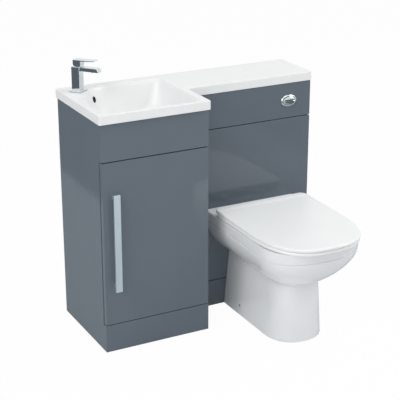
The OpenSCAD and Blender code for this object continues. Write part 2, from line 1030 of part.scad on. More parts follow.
// The coupling nuts at the trap's inlet and outlet
module trap_nuts() {
    color("#E6E7E8")
        at_drain() {
            tube_z(tail_bottom - 4, tail_bottom + 18, trap_nut_r[0], waste_r + play);
            translate([0, trap_socket, trap_h])
                rotate([-90, 0, 0])
                    tube_z(-9, 11, trap_nut_r[1], trap_socket_r + play);
        }
}

// The bottle of the trap, with its inlet tube and its side outlet
module trap_body() {
    top = trap_h + 26;
    color("#E6E7E8")
        at_drain()
            difference() {
                union() {
                    translate([0, 0, trap_h - 50])
                        cylinder(r = trap_r, h = 76);
                    translate([0, 0, trap_h - 74])
                        cylinder(r = waste_pipe_r, h = tail_bottom - trap_h + 74);
                    translate([0, 0, tail_bottom - 4])
                        cylinder(r = waste_r - loose, h = 4);
                    translate([0, trap_r - 3, trap_h])
                        rotate([-90, 0, 0])
                            cylinder(r = trap_socket_r, h = trap_socket - trap_r + 3);
                }
                difference() {
                    translate([0, 0, trap_h - 51])
                        cylinder(r = trap_r - 3, h = 74);
                    translate([0, 0, trap_h - 74])
                        cylinder(r = waste_pipe_r, h = 100);
                }
                translate([0, 0, trap_h - 75])
                    cylinder(r = waste_pipe_r - waste_pipe_t, h = 140);
                translate([0, trap_r - 6, trap_h])
                    rotate([-90, 0, 0])
                        cylinder(r = waste_pipe_r - waste_pipe_t, h = 40);
                translate([0, trap_socket - pipe_in - 2, trap_h])
                    rotate([-90, 0, 0])
                        cylinder(r = slim_pipe_r + play, h = pipe_in + 3);
            }
}

// The cup that unscrews from the bottle for cleaning
module trap_cup() {
    color("#E6E7E8")
        at_drain()
            difference() {
                translate([0, 0, trap_h - 92])
                    cylinder(r = trap_r + 4, h = 56);
                translate([0, 0, trap_h - 88])
                    cylinder(r = trap_r - 2, h = 60);
                translate([0, 0, trap_h - 50])
                    cylinder(r = trap_r + 0.05, h = 20);
            }
}

// The pipe to the wall, slimmer where it sits in the trap's socket
module trap_outlet_pipe() {
    bore = waste_pipe_r - waste_pipe_t;
    color("#E6E7E8")
        at_drain()
            translate([0, 0, trap_h])
                rotate([-90, 0, 0]) {
                    tube_z(trap_socket - pipe_in, trap_socket + 1.5, slim_pipe_r, bore);
                    tube_z(trap_socket + 1, -drain[1], waste_pipe_r, bore);
                }
}

// ---- Toilet cabinet ----

module wc_left_side() {
    color("#646D76")
        place()
            slab([wc_left, wc_inner, 0], [wc_left + board, 0, under_top]);
}

module wc_right_side() {
    color("#646D76")
        place()
            slab([wc_right - board, wc_inner, 0], [wc_right, 0, under_top]);
}

// The removable front panel that holds the flush button
module wc_upper_panel() {
    color("#646D76")
        place()
            difference() {
                slab([wc_left, wc_front, seam_high], [wc_right, wc_inner, under_top]);
                along_y(button_x, button_z, wc_front - eps, wc_inner + eps, barrel_r + 1);
            }
}

// The fixed front panel behind the pan, cut out for the flush pipe and the outlet
module wc_lower_panel() {
    color("#646D76")
        place()
            difference() {
                slab([wc_left, wc_front, panel_bottom], [wc_right, wc_inner, seam_low]);
                along_y(pan_x, inlet_h, wc_front - eps, wc_inner + eps, 32);
                along_y(pan_x, outlet_h, wc_front - eps, wc_inner + eps, 62);
            }
}

module wc_plinth() {
    color("#646D76")
        place()
            slab([wc_left, wc_front, 0], [wc_right, wc_inner, plinth_top]);
}

// ---- Flush button ----

// An oval of two half axes, drawn in the face of the panel
module oval_y(half, y0, y1) {
    translate([button_x, y1, button_z])
        rotate([90, 0, 0])
            linear_extrude(y1 - y0)
                polygon([for (a = [0:10:350]) [half[0] * cos(a), half[1] * sin(a)]]);
}

// The oval bezel and its threaded barrel, with the two air spigots
module flush_button_housing() {
    color("silver")
        place()
            difference() {
                union() {
                    oval_y(button_half, wc_front - bezel_t, wc_front);
                    along_y(button_x, button_z, wc_front - 0.2, barrel_end, barrel_r);
                    for (x = nipple_x)
                        translate([x, nipple_y, button_z])
                            cylinder(r = nipple_r, h = tube_top - button_z);
                }
                oval_y(button_open, wc_front - bezel_t - 1, wc_front);
                along_y(button_x, button_z, wc_front - 1, barrel_end - 4, barrel_r - barrel_wall);
                for (x = nipple_x)
                    translate([x, nipple_y, button_z])
                        cylinder(r = air_way_r, h = 30);
            }
}

module flush_button_nut() {
    color("#E6E7E8")
        place()
            difference() {
                along_y(button_x, button_z, wc_inner, wc_inner + button_nut_t, button_nut_r);
                along_y(button_x, button_z, wc_inner - eps, wc_inner + button_nut_t + 1, barrel_r + play);
            }
}

// One of the two keys of the button, above or below the split
module button_key(side) {
    low = side > 0 ? key_split : -button_half[0];
    high = side > 0 ? button_half[0] : -key_split;
    color("silver")
        place() {
            intersection() {
                oval_y(button_plate, wc_front - bezel_t - 3, wc_front - bezel_t - rest_gap);
                slab(
                    [button_x - button_half[0], wc_front - 10, button_z + low],
                    [button_x + button_half[0], wc_front, button_z + high]
                );
            }
            along_y(button_x, button_z + side * key_stem_z, wc_front - 5, wc_front + 30, key_stem_r);
        }
}

module flush_button_full() {
    button_key(1);
}

module flush_button_half() {
    button_key(-1);
}

// ---- Cistern ----

module cistern_tank() {
    color("#E6E7E8")
        place()
            difference() {
                slab([tank_x0, tank_y0, tank_z0], [tank_x1, tank_y1, tank_z1]);
                slab(
                    [tank_x0 + tank_wall, tank_y0 + tank_wall, tank_z0 + tank_wall],
                    [tank_x1 - tank_wall, tank_y1 - tank_wall, tank_z1 + eps]
                );
                translate([pan_x, valve_y, tank_z0 - eps])
                    cylinder(r = outlet_thread_r + loose, h = 10);
                translate([fill_x, valve_y, tank_z0 - eps])
                    cylinder(r = inlet_thread_r + loose, h = 10);
            }
}

module cistern_lid() {
    color("#E6E7E8")
        place()
            difference() {
                slab(
                    [tank_x0 - lid_overhang, tank_y0 - lid_overhang, tank_z1],
                    [tank_x1 + lid_overhang, tank_y1 + lid_overhang, tank_z1 + cistern_lid_t]
                );
                translate([pan_x, valve_y, tank_z1 - eps])
                    cylinder(r = cage_r + rest_gap, h = 10);
            }
}

// The flush valve: a cage on a threaded outlet, with the air bellows on top
module flush_valve_body() {
    tail = tank_z0 - 34;
    color("#E6E7E8")
        place() {
            translate([pan_x, valve_y, 0])
                difference() {
                    union() {
                        translate([0, 0, tail])
                            cylinder(r = outlet_thread_r, h = valve_floor - tail + 1);
                        translate([0, 0, tank_z0 - 12])
                            cylinder(r = 38, h = 12);
                        translate([0, 0, valve_floor])
                            cylinder(r = cage_r, h = tank_z1 + 6 - valve_floor);
                        translate([0, 0, tank_z1 + 5])
                            cylinder(r = valve_head_r, h = 30);
                    }
                    translate([0, 0, tail - eps])
                        cylinder(r = flush_r + play, h = 16);
                    translate([0, 0, tail])
                        cylinder(r = flush_r - flush_wall, h = 30);
                    translate([0, 0, tail + 25])
                        cylinder(r = 24, h = 30);
                    translate([0, 0, valve_floor + 6])
                        cylinder(r = cage_r - 3, h = tank_z1 - valve_floor - 12);
                    for (turn = [0, 90])
                        rotate([0, 0, turn])
                            slab([-50, -16, valve_floor + 10], [50, 16, valve_floor + 180]);
                }
            for (i = [0, 1])
                along_x(pan_x + 22, pan_x + 42, spigot_y[i], spigot_z[i], nipple_r);
        }
}

// The lifting part of the flush valve: the overflow tube and the seal round its foot
module flush_valve_riser() {
    color("#5B86B8")
        place()
            translate([pan_x, valve_y, 0])
                difference() {
                    union() {
                        translate([0, 0, valve_floor + 6.3])
                            cylinder(r = 30, h = 6);
                        translate([0, 0, valve_floor + 8])
                            cylinder(r = 13, h = 220);
                    }
                    translate([0, 0, valve_floor])
                        cylinder(r = 11, h = 240);
                }
}

// The fill valve: a threaded tail, a stem with a stop, and the valve head
module fill_valve_body() {
    color("#E6E7E8")
        place()
            translate([fill_x, valve_y, 0])
                difference() {
                    union() {
                        translate([0, 0, tank_z0 - 32])
                            cylinder(r = inlet_thread_r, h = valve_floor - tank_z0 + 33);
                        translate([0, 0, tank_z0 - 10])
                            cylinder(r = 17, h = 10);
                        translate([0, 0, valve_floor])
                            cylinder(r = 15, h = 16);
                        translate([0, 0, valve_floor])
                            cylinder(r = 9, h = 230);
                        slab([-18, -14, valve_floor + 225], [18, 14, valve_floor + 262]);
                    }
                    translate([0, 0, tank_z0 - 33])
                        cylinder(r = 5, h = 250);
                }
}

// The float cup, shown at the bottom of its travel as in an empty cistern
module fill_valve_float() {
    color("#5B86B8")
        place()
            translate([fill_x, valve_y, 0])
                difference() {
                    translate([0, 0, float_rest])
                        cylinder(r = 26, h = float_h);
                    translate([0, 0, float_rest - eps])
                        cylinder(r = 9.5, h = float_h + 2 * eps);
                    translate([0, 0, float_rest - eps])
                        difference() {
                            cylinder(r = 24, h = float_h - 3);
                            cylinder(r = 12, h = float_h - 3);
                        }
                }
}

function heading(points, i) =
    i == 0 ? unit(points[1] - points[0])
    : i == len(points) - 1 ? unit(points[i] - points[i - 1])
    : unit(unit(points[i] - points[i - 1]) + unit(points[i + 1] - points[i]));

// A round tube of one radius along a list of points
module hose(points, r, sides = 10) {
    rings = [for (i = [len(points) - 1:-1:0])
        let (
            way = heading(points, i),
            side = unit(cross(way, abs(way[2]) > 0.9 ? [0, 1, 0] : [0, 0, 1])),
            up = cross(side, way)
        )
        [for (k = [0:sides - 1]) points[i] + r * (side * cos(360 * k / sides) + up * sin(360 * k / sides))]];
    skin(rings);
}

module air_tubes() {
    color("#E6E7E8")
        place()
            for (route = air_routes)
                hose(route, air_tube_r);
}

// The bend that takes the flush water from the cistern to the pan
module flush_pipe() {
    start = tank_z0 - 20;
    bend_z = inlet_h + flush_bend;
    bend_y = valve_y - flush_bend;
    mouth = -250;
    color("#E6E7E8")
        place()
            translate([pan_x, 0, 0]) {
                translate([0, valve_y, 0])
                    tube_z(bend_z, start, flush_r, flush_r - flush_wall);
                translate([0, bend_y, bend_z])
                    rotate([-90, 0, 0])
                        rotate([0, -90, 0])
                            difference() {
                                rotate_extrude(angle = 90)
                                    translate([flush_bend, 0])
                                        circle(r = flush_r);
                                rotate_extrude(angle = 90)
                                    translate([flush_bend, 0])
                                        circle(r = flush_r - flush_wall);
                            }
                translate([0, bend_y, inlet_h])
                    rotate([90, 0, 0])
                        tube_z(0, bend_y - mouth, flush_r, flush_r - flush_wall);
            }
}

// The rubber cone that seals the flush pipe in the pan
module flush_cone() {
    color("#303236")
        place()
            translate([pan_x, -232, inlet_h])
                rotate([90, 0, 0])
                    tube_z(0, 20, cone_r, flush_r + play);
}

// The socket and pipe that join the pan's outlet to the soil pipe in the wall
module pan_connector() {
    color("#E6E7E8")
        place()
            difference() {
                union() {
                    along_y(pan_x, outlet_h, spigot_end - 40, -210, 58);
                    along_y(pan_x, outlet_h, -211, 0, soil_r);
                }
                along_y(pan_x, outlet_h, spigot_end - 41, spigot_end + 2, outlet_r + loose);
                along_y(pan_x, outlet_h, spigot_end - 8, eps, soil_r - 7);
            }
}

// ---- Toilet pan ----

// How far the bowl has swelled at a share of the way from the neck up to the groove
function swell(share) = pow(1 - pow(1 - share, 1.5), 0.79);

// One outline of the pan's outside, drawn in by inset. Its numbers are the half width, the
// reach from the wall, the length of the curved front and the fullness of the curve.
function pan_ring(z, shape, inset = 0) =
    lift(plan(shape[0] - inset, shape[1] - inset, shape[2] - inset, shape[3], pan_back), z);

function foot_shape(share) = foot_low * (1 - share) + foot_high * share;
function bowl_shape(share) = neck * (1 - swell(share)) + belly * swell(share);

function pan_outside() = concat(
    [for (share = [0, 0.5, 0.98]) pan_ring(neck_z * share, foot_shape(share))],
    [for (share = [0, 0.06, 0.14, 0.26, 0.42, 0.6, 0.8, 1])
        pan_ring(neck_z + (groove_z - neck_z) * share, bowl_shape(share))],
    [
        pan_ring(groove_z + 1, belly, 3),
        pan_ring(groove_z + 3, belly, 3),
        pan_ring(groove_z + 4.5, belly, -0.5),
        pan_ring(rim_h - 4, belly, -2),
        pan_ring(rim_h - 1, belly, -1),
        pan_ring(rim_h, belly, 1.5)
    ]
);

// The hollow inside the pan's walls, open below and behind
function pan_hollow() = [
    for (ring = [[-1, 0], [110, 0.5], [205, 0.95]])
        pan_ring(ring[0], foot_shape(ring[1]), pan_wall),
    for (share = [0.1, 0.35, 0.7, 1])
        pan_ring(neck_z + (groove_z - neck_z) * share, bowl_shape(share), pan_wall),
    pan_ring(rim_h - 16, belly, pan_wall)
];

function bowl_inside(extra) = [
    for (level = bowl_levels)
        let (drop = level[0] < rim_h ? extra : 0)
        lift(egg(level[1] + extra, level[2] - extra, level[3] + extra), level[0] - drop)
];

module pan() {
    color("#F2F3F3")
        place()
            difference() {
                union() {
                    difference() {
                        skin(pan_outside());
                        skin(pan_hollow());
                    }
                    skin([for (i = [0:len(bowl_levels) - 2]) bowl_inside(pan_wall - 1)[i]]);
                    hose(trap_route, trap_outside, 16);
                    along_y(pan_x, outlet_h, -288, spigot_end, outlet_r);
                    along_y(pan_x, inlet_h, -416, spigot_end - 4, inlet_boss_r);
                }
                skin(bowl_inside(0));
                hose(trap_route, trap_bore, 14);
                along_y(pan_x, outlet_h, -278, spigot_end + 1, outlet_r - 8);
                along_y(pan_x, inlet_h, -425, spigot_end - 3, flush_r - 2);
                along_y(pan_x, inlet_h, -256, spigot_end - 3, cone_r + loose);
                along_x(pan_x - 120, pan_x + 120, side_hole_y, side_hole_z, 5);
                both_sides()
                    translate([hinge_spacing / 2, hinge_y, rim_h - 30])
                        cylinder(r = hinge_hole_r, h = 40);
            }
}

// Plastic angles screwed to the floor inside the pan's foot
module pan_floor_brackets() {
    wall_x = foot_half_w - pan_wall - 5;
    color("#E6E7E8")
        place()
            both_sides()
                difference() {
                    union() {
                        slab([wall_x - 16, side_hole_y - 12, 0], [wall_x, side_hole_y + 12, 50]);
                        slab([wall_x - 46, side_hole_y - 12, 0], [wall_x, side_hole_y + 12, 6]);
                    }
                    translate([wall_x - 32, side_hole_y, -eps])
                        cylinder(r = 3.5, h = 8);
                    along_x(wall_x - 18, wall_x + eps, side_hole_y, side_hole_z, 2.55);
                }
}

// The screws through the sides of the foot, with their heads let in
module pan_fixing_screws() {
    head_x = foot_half_w - pan_wall + 1;
    color("silver")
        place()
            both_sides() {
                along_x(head_x - 24, head_x, side_hole_y, side_hole_z, 2.5);
                along_x(head_x, head_x + 5, side_hole_y, side_hole_z, 4.6);
            }
}

// ---- Seat and lid ----

// The hinges: a post through the deck with a nut below, and the pin that seat and lid turn on
module seat_hinge_posts() {
    color("silver")
        place()
            both_sides()
                translate([hinge_spacing / 2, hinge_y, 0]) {
                    difference() {
                        translate([0, 0, rim_h - 42])
                            cylinder(r = post_r, h = 42);
                        translate([0, 0, rim_h - 43])
                            cylinder(r = 2, h = 20);
                    }
                    tube_z(rim_h - 26, rim_h - 16, foot_r, post_r - loose);
                    translate([0, 0, rim_h])
                        cylinder(r = foot_r, h = 3);
                    slab([-ear, -5, rim_h], [ear, 5, hinge_z]);
                    along_x(-ear, ear, 0, hinge_z, 6.5);
                    along_x(-ear - ear_gap - lug, ear + ear_gap + lug, 0, hinge_z, seat_pin_r);
                }
}

// A hinge lug of the seat or lid, from its back edge to a barrel round the pin
module hinge_lug(x0, x1, front, low, high) {
    difference() {
        union() {
            slab([x0, front, low], [x1, hinge_y, high]);
            along_x(x0, x1, hinge_y, hinge_z, lug_r);
        }
        along_x(x0 - eps, x1 + eps, hinge_y, hinge_z, seat_pin_r + play);
    }
}

module toilet_seat() {
    near = hinge_spacing / 2 - ear - ear_gap;
    color("#F4F5F5")
        place() {
            difference() {
                translate([0, 0, seat_low])
                    linear_extrude(seat_high - seat_low)
                        polygon(plan(seat_half_w, seat_reach, seat_curve, seat_fullness, seat_back, 20));
                translate([0, 0, seat_low - eps])
                    linear_extrude(seat_high - seat_low + 2 * eps)
                        polygon(egg(112, -688, -416));
            }
            both_sides()
                hinge_lug(near - lug, near, seat_back - 6, seat_low + 2.5, seat_high);
        }
}

module seat_buffers() {
    color("#D4D6D8")
        place()
            both_sides()
                for (spot = buffer_spots)
                    translate([spot[0], spot[1], rim_h + rest_gap])
                        cylinder(r = buffer_r, h = seat_low - rim_h - rest_gap);
}

function lid_ring(z, inset) =
    lift(plan(lid_half_w - inset, lid_reach - inset, lid_curve - inset, lid_fullness,
              lid_back - inset * 0.6, 22), z);

module toilet_lid() {
    far = hinge_spacing / 2 + ear + ear_gap;
    recess_top = lid_low + lid_hollow;
    color("#F4F5F5")
        place() {
            difference() {
                skin([
                    lid_ring(lid_low, 4),
                    lid_ring(lid_low + 1.5, 1),
                    lid_ring(lid_low + 4, 0),
                    lid_ring(lid_high - 4, 0),
                    lid_ring(lid_high - 1.8, 1.6),
                    lid_ring(lid_high - 0.6, 5),
                    lid_ring(lid_high, 12)
                ]);
                translate([0, 0, lid_low - eps])
                    linear_extrude(recess_top - lid_low + eps)
                        polygon(plan(lid_half_w - 12, lid_reach - 12, lid_curve - 12, lid_fullness,
                                     lid_back - 10, 16));
            }
            both_sides()
                hinge_lug(far, far + lug, lid_back - 4, lid_low - 7, lid_high - 6);
        }
}

module lid_buffers() {
    color("#D4D6D8")
        place()
            both_sides()
                for (spot = buffer_spots)
                    translate([spot[0], spot[1], seat_high + rest_gap])
                        cylinder(r = buffer_r, h = lid_low + lid_hollow - seat_high - rest_gap);
}

// ---- The unit ----

vanity_left_side();
vanity_right_side();
vanity_base();
cabinet_rails();
vanity_back_panel();
vanity_fascia();
vanity_plinth();
vanity_shelf();
shelf_pins();
hinge_arms();
wall_brackets();
worktop_basin();
tap_body();
tap_base_seal();
tap_aerator();
tap_cartridge();
tap_fixing_stud();
tap_fixing_clamp();
waste_body();
waste_seal();
waste_nut();
trap_nuts();
trap_body();
trap_cup();
trap_outlet_pipe();
wc_left_side();
wc_right_side();
wc_upper_panel();
wc_lower_panel();
wc_plinth();
flush_button_housing();
flush_button_nut();
cistern_tank();
cistern_lid();
flush_valve_body();
fill_valve_body();
air_tubes();
flush_pipe();
flush_cone();
pan_connector();
pan();
seat_hinge_posts();
pan_floor_brackets();
pan_fixing_screws();
vanity_door();
door_handle();
handle_screws();
hinge_cups();
door_bumpers();
tap_stem();
tap_lever();
waste_plug();
flush_button_full();
flush_button_half();
flush_valve_riser();
fill_valve_float();
toilet_seat();
seat_buffers();
toilet_lid();
lid_buffers();
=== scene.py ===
# %% [markdown]
# # A toilet and basin combination unit
#
# A narrow vanity cupboard stands beside a slim cabinet that hides the cistern, and one cast
# worktop covers both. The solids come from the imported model, so this file only dresses them.
# Where a solid is plain, it gets a finish. Where the real piece has soft edges or curves that
# a plain solid lacks, a finer piece is built over the same sizes and stands in for it.

# %% Load the frame
import json
import math

import bmesh
import bpy
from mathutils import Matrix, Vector


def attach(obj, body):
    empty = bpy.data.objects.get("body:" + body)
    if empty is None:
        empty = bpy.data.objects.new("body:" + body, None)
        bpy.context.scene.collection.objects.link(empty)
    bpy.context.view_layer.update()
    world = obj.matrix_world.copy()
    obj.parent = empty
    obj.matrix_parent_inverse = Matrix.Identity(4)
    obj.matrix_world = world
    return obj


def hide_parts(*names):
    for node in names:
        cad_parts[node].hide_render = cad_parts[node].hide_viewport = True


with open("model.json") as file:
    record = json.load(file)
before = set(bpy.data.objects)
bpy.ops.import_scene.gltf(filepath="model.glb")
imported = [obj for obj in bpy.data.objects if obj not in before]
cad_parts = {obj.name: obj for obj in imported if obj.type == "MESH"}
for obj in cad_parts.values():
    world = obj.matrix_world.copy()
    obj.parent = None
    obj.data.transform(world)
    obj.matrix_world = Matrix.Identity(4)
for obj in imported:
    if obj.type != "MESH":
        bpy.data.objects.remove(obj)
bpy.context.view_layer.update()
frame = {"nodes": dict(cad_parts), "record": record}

# %% [markdown]
# ## Measuring like a fitter
#
# A fitter measures this unit from three places: the left end of the worktop, the wall, and the
# floor. The function here turns those tape measurements, in millimetres, into Blender's metres,
# so every size below can be checked against the real unit.

# %% From the fitter's tape to the frame
MM = 0.001
TOTAL_WIDTH = 900
TOTAL_DEPTH = 761
TOP = 837


def at(x, y, z):
    """A point from the left end, the wall (negative into the room) and the floor, in mm."""
    return Vector(((x - TOTAL_WIDTH / 2) / 1000, (y + TOTAL_DEPTH / 2) / 1000, z / 1000))


print("the corner of the worktop is at", at(0, 0, TOP))

# %% [markdown]
# ## The camera
#
# The photograph was taken from the front left, a little above the worktop, with a long lens
# that keeps the cabinet's upright edges nearly parallel. The place and the lens were worked out
# from the straight edges of the cabinets. There is no blur from depth of field.

# %% Set the camera
CAMERA_PLACE = Vector((-1.8372, -3.3517, 1.9141))
CAMERA_TURN = math.radians(-27.62)
CAMERA_TILT = math.radians(20.57)
FOCAL_PIXELS = 1197.8
SHIFT_PIXELS = -2.5
IMAGE_PIXELS = 400
FILM_WIDTH = 36


def point_at(thing, way):
    """Turns a camera or a lamp so that it looks along a direction."""
    thing.rotation_euler = way.to_track_quat("-Z", "Y").to_euler()


camera_data = bpy.data.cameras.new("camera")
camera_data.sensor_width = FILM_WIDTH
camera_data.lens = FOCAL_PIXELS / IMAGE_PIXELS * FILM_WIDTH
camera_data.shift_x = SHIFT_PIXELS / IMAGE_PIXELS
camera = bpy.data.objects.new("camera", camera_data)
bpy.context.scene.collection.objects.link(camera)
camera.location = CAMERA_PLACE
point_at(camera, Vector((
    -math.sin(CAMERA_TURN) * math.cos(CAMERA_TILT),
    math.cos(CAMERA_TURN) * math.cos(CAMERA_TILT),
    -math.sin(CAMERA_TILT),
)))
bpy.context.scene.camera = camera
bpy.context.scene.view_settings.view_transform = "Standard"
print("lens", round(camera_data.lens, 1), "mm")

# %% [markdown]
# ## Finishes
#
# Every finish starts from what the real surface is. Colours are written as they are on a
# screen, in hex, and one function turns them into the linear values that light needs. One
# more function adds a node to a material with its settings and its links. The others are the
# steps that most finishes share: patches of noise or cells with a real size, two colours
# mixed, a shine that varies, and a relief with a real depth.

# %% Helpers for the finishes
def linear(hex_colour):
    """The linear colour of an sRGB hex value."""
    parts = [int(hex_colour[i:i + 2], 16) / 255 for i in (1, 3, 5)]
    return [c / 12.92 if c <= 0.04045 else ((c + 0.055) / 1.055) ** 2.4 for c in parts] + [1.0]


def finish(name):
    """A new material with an empty node tree."""
    material = bpy.data.materials.new(name)
    material.use_nodes = True
    material.node_tree.nodes.clear()
    return material


def add(material, kind, inputs=None, **settings):
    """Adds a node. An input is a value, another node, or one of another node's outputs."""
    node = material.node_tree.nodes.new(kind)
    for setting, value in settings.items():
        setattr(node, setting, value)
    for name, value in (inputs or {}).items():
        if isinstance(name, int):
            socket = node.inputs[name]
        else:
            socket = next(s for s in node.inputs if s.enabled and s.name == name)
        if isinstance(value, bpy.types.Node):
            value = next(s for s in value.outputs if s.enabled)
        if isinstance(value, bpy.types.NodeSocket):
            material.node_tree.links.new(value, socket)
        else:
            socket.default_value = value
    return node


def place_on(m):
    """The place on the piece itself, in metres, so that a pattern stays where it is."""
    return add(m, "ShaderNodeTexCoord").outputs["Object"]


def per_metre(size_mm):
    """The texture scale at which one feature is this many millimetres across."""
    return 1 / (size_mm * MM)


def noise(m, place, size_mm, detail, **more):
    """Soft patches about this many millimetres across."""
    return add(m, "ShaderNodeTexNoise", {
        "Vector": place, "Scale": per_metre(size_mm), "Detail": detail, **more})


def cells(m, place, size_mm, **settings):
    """Cells about this many millimetres across, such as crystals, pebbles or specks."""
    return add(m, "ShaderNodeTexVoronoi", {"Vector": place, "Scale": per_metre(size_mm)},
               **settings)


def colours(m, share, low, high):
    """A colour between two hex values."""
    return add(m, "ShaderNodeMix", {"Factor": share, "A": linear(low), "B": linear(high)},
               data_type="RGBA")


def stretch(m, value, low, high, new_low, new_high):
    """Maps one range of a value onto another, such as a patch of noise onto a shine."""
    return add(m, "ShaderNodeMapRange", {
        "Value": value, "From Min": low, "From Max": high, "To Min": new_low,
        "To Max": new_high})


def relief(m, height, strength, depth_mm):
    """Tilts the surface to the eye, as a relief of this depth does."""
    return add(m, "ShaderNodeBump", {
        "Height": height, "Strength": strength, "Distance": depth_mm * MM})


def coat(m, colour, roughness, **more):
    """Joins a finish to its material's output."""
    skin = add(m, "ShaderNodeBsdfPrincipled", {
        "Base Color": colour, "Roughness": roughness, **more})
    add(m, "ShaderNodeOutputMaterial", {"Surface": skin})
    print("made", m.name)
    return m


print("mid grey is", [round(c, 3) for c in linear("#808080")[:3]])

# %% [markdown]
# ### Gloss lacquer on MDF
#
# The grey panels are medium density fibreboard, filled, sprayed with polyurethane lacquer and
# polished. That gives the eye a flat, even grey under a clear sharp shine, and a faint waviness
# in the reflections, called orange peel, with waves about 6 mm across.

# %% Gloss lacquer
def gloss_lacquer():
    m = finish("gloss_polyurethane_lacquer_on_mdf")
    place = place_on(m)
    grey = colours(m, noise(m, place, 140, 2.0), "#636D76", "#68717A")
    wiped = noise(m, place, 45, 4.0)
    peel = noise(m, place, 6, 1.0)
    return coat(m, grey, stretch(m, wiped, 0.3, 0.7, 0.05, 0.1),
                Normal=relief(m, peel, 0.05, 0.15), IOR=1.5)


lacquer = gloss_lacquer()

# %% [markdown]
# ### Melamine faced chipboard
#
# The inside boards are chipboard with white melamine paper pressed on. The press plate leaves
# a fine pebble, about 0.8 mm across, that gives a soft satin shine instead of a clear one. It
# is drawn 3 mm across here, because the real one is too fine to show.

# %% Melamine
def pressed_melamine():
    m = finish("pressed_melamine_on_chipboard")
    place = place_on(m)
    white = colours(m, noise(m, place, 90, 2.0), "#DCDCD9", "#E3E3E0")
    pebble = cells(m, place, 3, feature="SMOOTH_F1")
    return coat(m, white, 0.42, Normal=relief(m, pebble, 0.15, 0.1), IOR=1.5)


melamine = pressed_melamine()

# %% [markdown]
# ### Gelcoat on cast marble
#
# The worktop and its basin are cast marble: crushed stone in polyester resin, poured behind a
# layer of clear gelcoat in a polished mould. Cleaning rubs the gelcoat's gloss down to an even,
# softer shine, over a white that the filler clouds very slightly, in patches about 60 mm across.

# %% Gelcoat
def gelcoat():
    m = finish("gelcoat_on_cast_marble")
    place = place_on(m)
    white = colours(m, noise(m, place, 60, 3.0), "#ECEEED", "#F2F3F2")
    wear = noise(m, place, 25, 5.0)
    sway = noise(m, place, 35, 0.0)
    return coat(m, white, stretch(m, wear, 0.35, 0.65, 0.3, 0.38),
                Normal=relief(m, sway, 0.06, 0.4), IOR=1.55)


marble = gelcoat()

# %% [markdown]
# ### Glaze on vitreous china
#
# The pan is slip cast clay, sprayed with glaze and fired at about 1200 degrees. The glaze is a
# real glass, so its shine is the clearest of all the whites, and it lies in slow waves about
# 20 mm across where it ran before it set. Tiny specks, about 1 mm across, come from the kiln.

# %% Glaze
def fired_glaze():
    m = finish("fired_glaze_on_vitreous_china")
    place = place_on(m)
    white = colours(m, noise(m, place, 80, 2.0), "#E8EAEB", "#EFF0F1")
    spot = stretch(m, cells(m, place, 9), 0.03, 0.06, 0.12, 0.0)
    glazed = add(m, "ShaderNodeMix", {"Factor": spot, "A": white, "B": linear("#B9B6AF")},
                 data_type="RGBA")
    run = noise(m, place, 20, 0.0)
    return coat(m, glazed, 0.06, Normal=relief(m, run, 0.08, 0.4), IOR=1.52)


china = fired_glaze()

# %% [markdown]
# ### Moulded urea plastic
#
# The seat and its lid are urea formaldehyde, a hard thermoset pressed in a heated mould. It
# looks close to china, but a shade warmer and softer, with a faint flow pattern in the shine
# about 15 mm across and fine rubbing marks from cleaning.

# %% Urea plastic
def moulded_urea():
    m = finish("moulded_urea_formaldehyde")
    place = place_on(m)
    white = colours(m, noise(m, place, 110, 2.0), "#F3F5F4", "#F7F8F7")
    flow = noise(m, place, 15, 4.0, Distortion=1.0)
    return coat(m, white, stretch(m, flow, 0.3, 0.7, 0.36, 0.46),
                Normal=relief(m, flow, 0.04, 0.1), IOR=1.55)


urea = moulded_urea()

# %% [markdown]
# ### Polished chrome plate
#
# The tap, the waste, the flush button and the seat hinges are brass, zinc or steel, polished
# and plated with chromium. Chrome shows hardly any colour of its own, only a cold tint on what
# it mirrors. Water marks and finger smears, about 12 mm across, dull it a little.

# %% Chrome
def chrome_plate():
    m = finish("polished_chrome_plate")
    smear = noise(m, place_on(m), 12, 5.0)
    return coat(m, colours(m, smear, "#CDD4D8", "#D8DEE1"),
                stretch(m, smear, 0.35, 0.75, 0.03, 0.09), Metallic=1.0)


chrome = chrome_plate()

# %% [markdown]
# ### Brushed anodised aluminium
#
# The handle is an extruded aluminium bar, brushed along its length and anodised. The brushing
# leaves fine upright lines, about 0.2 mm apart, that spread the light sideways. They are drawn
# 1 mm apart and 60 mm long, because the real ones are too fine to show.

# %% Brushed aluminium
def brushed_aluminium():
    m = finish("brushed_anodised_aluminium")
    drawn = add(m, "ShaderNodeMapping", {"Vector": place_on(m), "Scale": (
        per_metre(1), per_metre(1), per_metre(60))})
    line = add(m, "ShaderNodeTexNoise", {"Vector": drawn, "Scale": 1.0, "Detail": 3.0})
    return coat(m, colours(m, line, "#DFEAF0", "#EAF2F6"),
                stretch(m, line, 0.3, 0.7, 0.42, 0.52),
                Normal=relief(m, line, 0.1, 0.05), Metallic=1.0)


aluminium = brushed_aluminium()

# %% [markdown]
# ### Zinc plate on pressed steel
#
# Hinges, brackets, pins and screws are steel, pressed or turned, then zinc plated. Zinc grows
# in small crystals, called spangle, so its shine changes in patches about 4 mm across, with a
# faint blue and yellow cast from the passivating bath.

# %% Zinc plate
def zinc_plate():
    m = finish("bright_zinc_plate_on_steel")
    place = place_on(m)
    spangle = cells(m, place, 4)
    return coat(m, colours(m, noise(m, place, 18, 2.0), "#B5BCC4", "#C9C8BE"),
                stretch(m, spangle, 0.0, 0.8, 0.25, 0.42), Metallic=1.0)


zinc = zinc_plate()

# %% [markdown]
# ### Turned brass
#
# The tap's stud and its clamp, and the nut under the basin, are brass turned on a lathe. The
# tool leaves fine rings up the piece, about 0.3 mm apart and drawn 1.5 mm apart here, and the
# bare metal dulls to brown in patches about 10 mm across.

# %% Turned brass
WAVES_PER_UNIT = 20


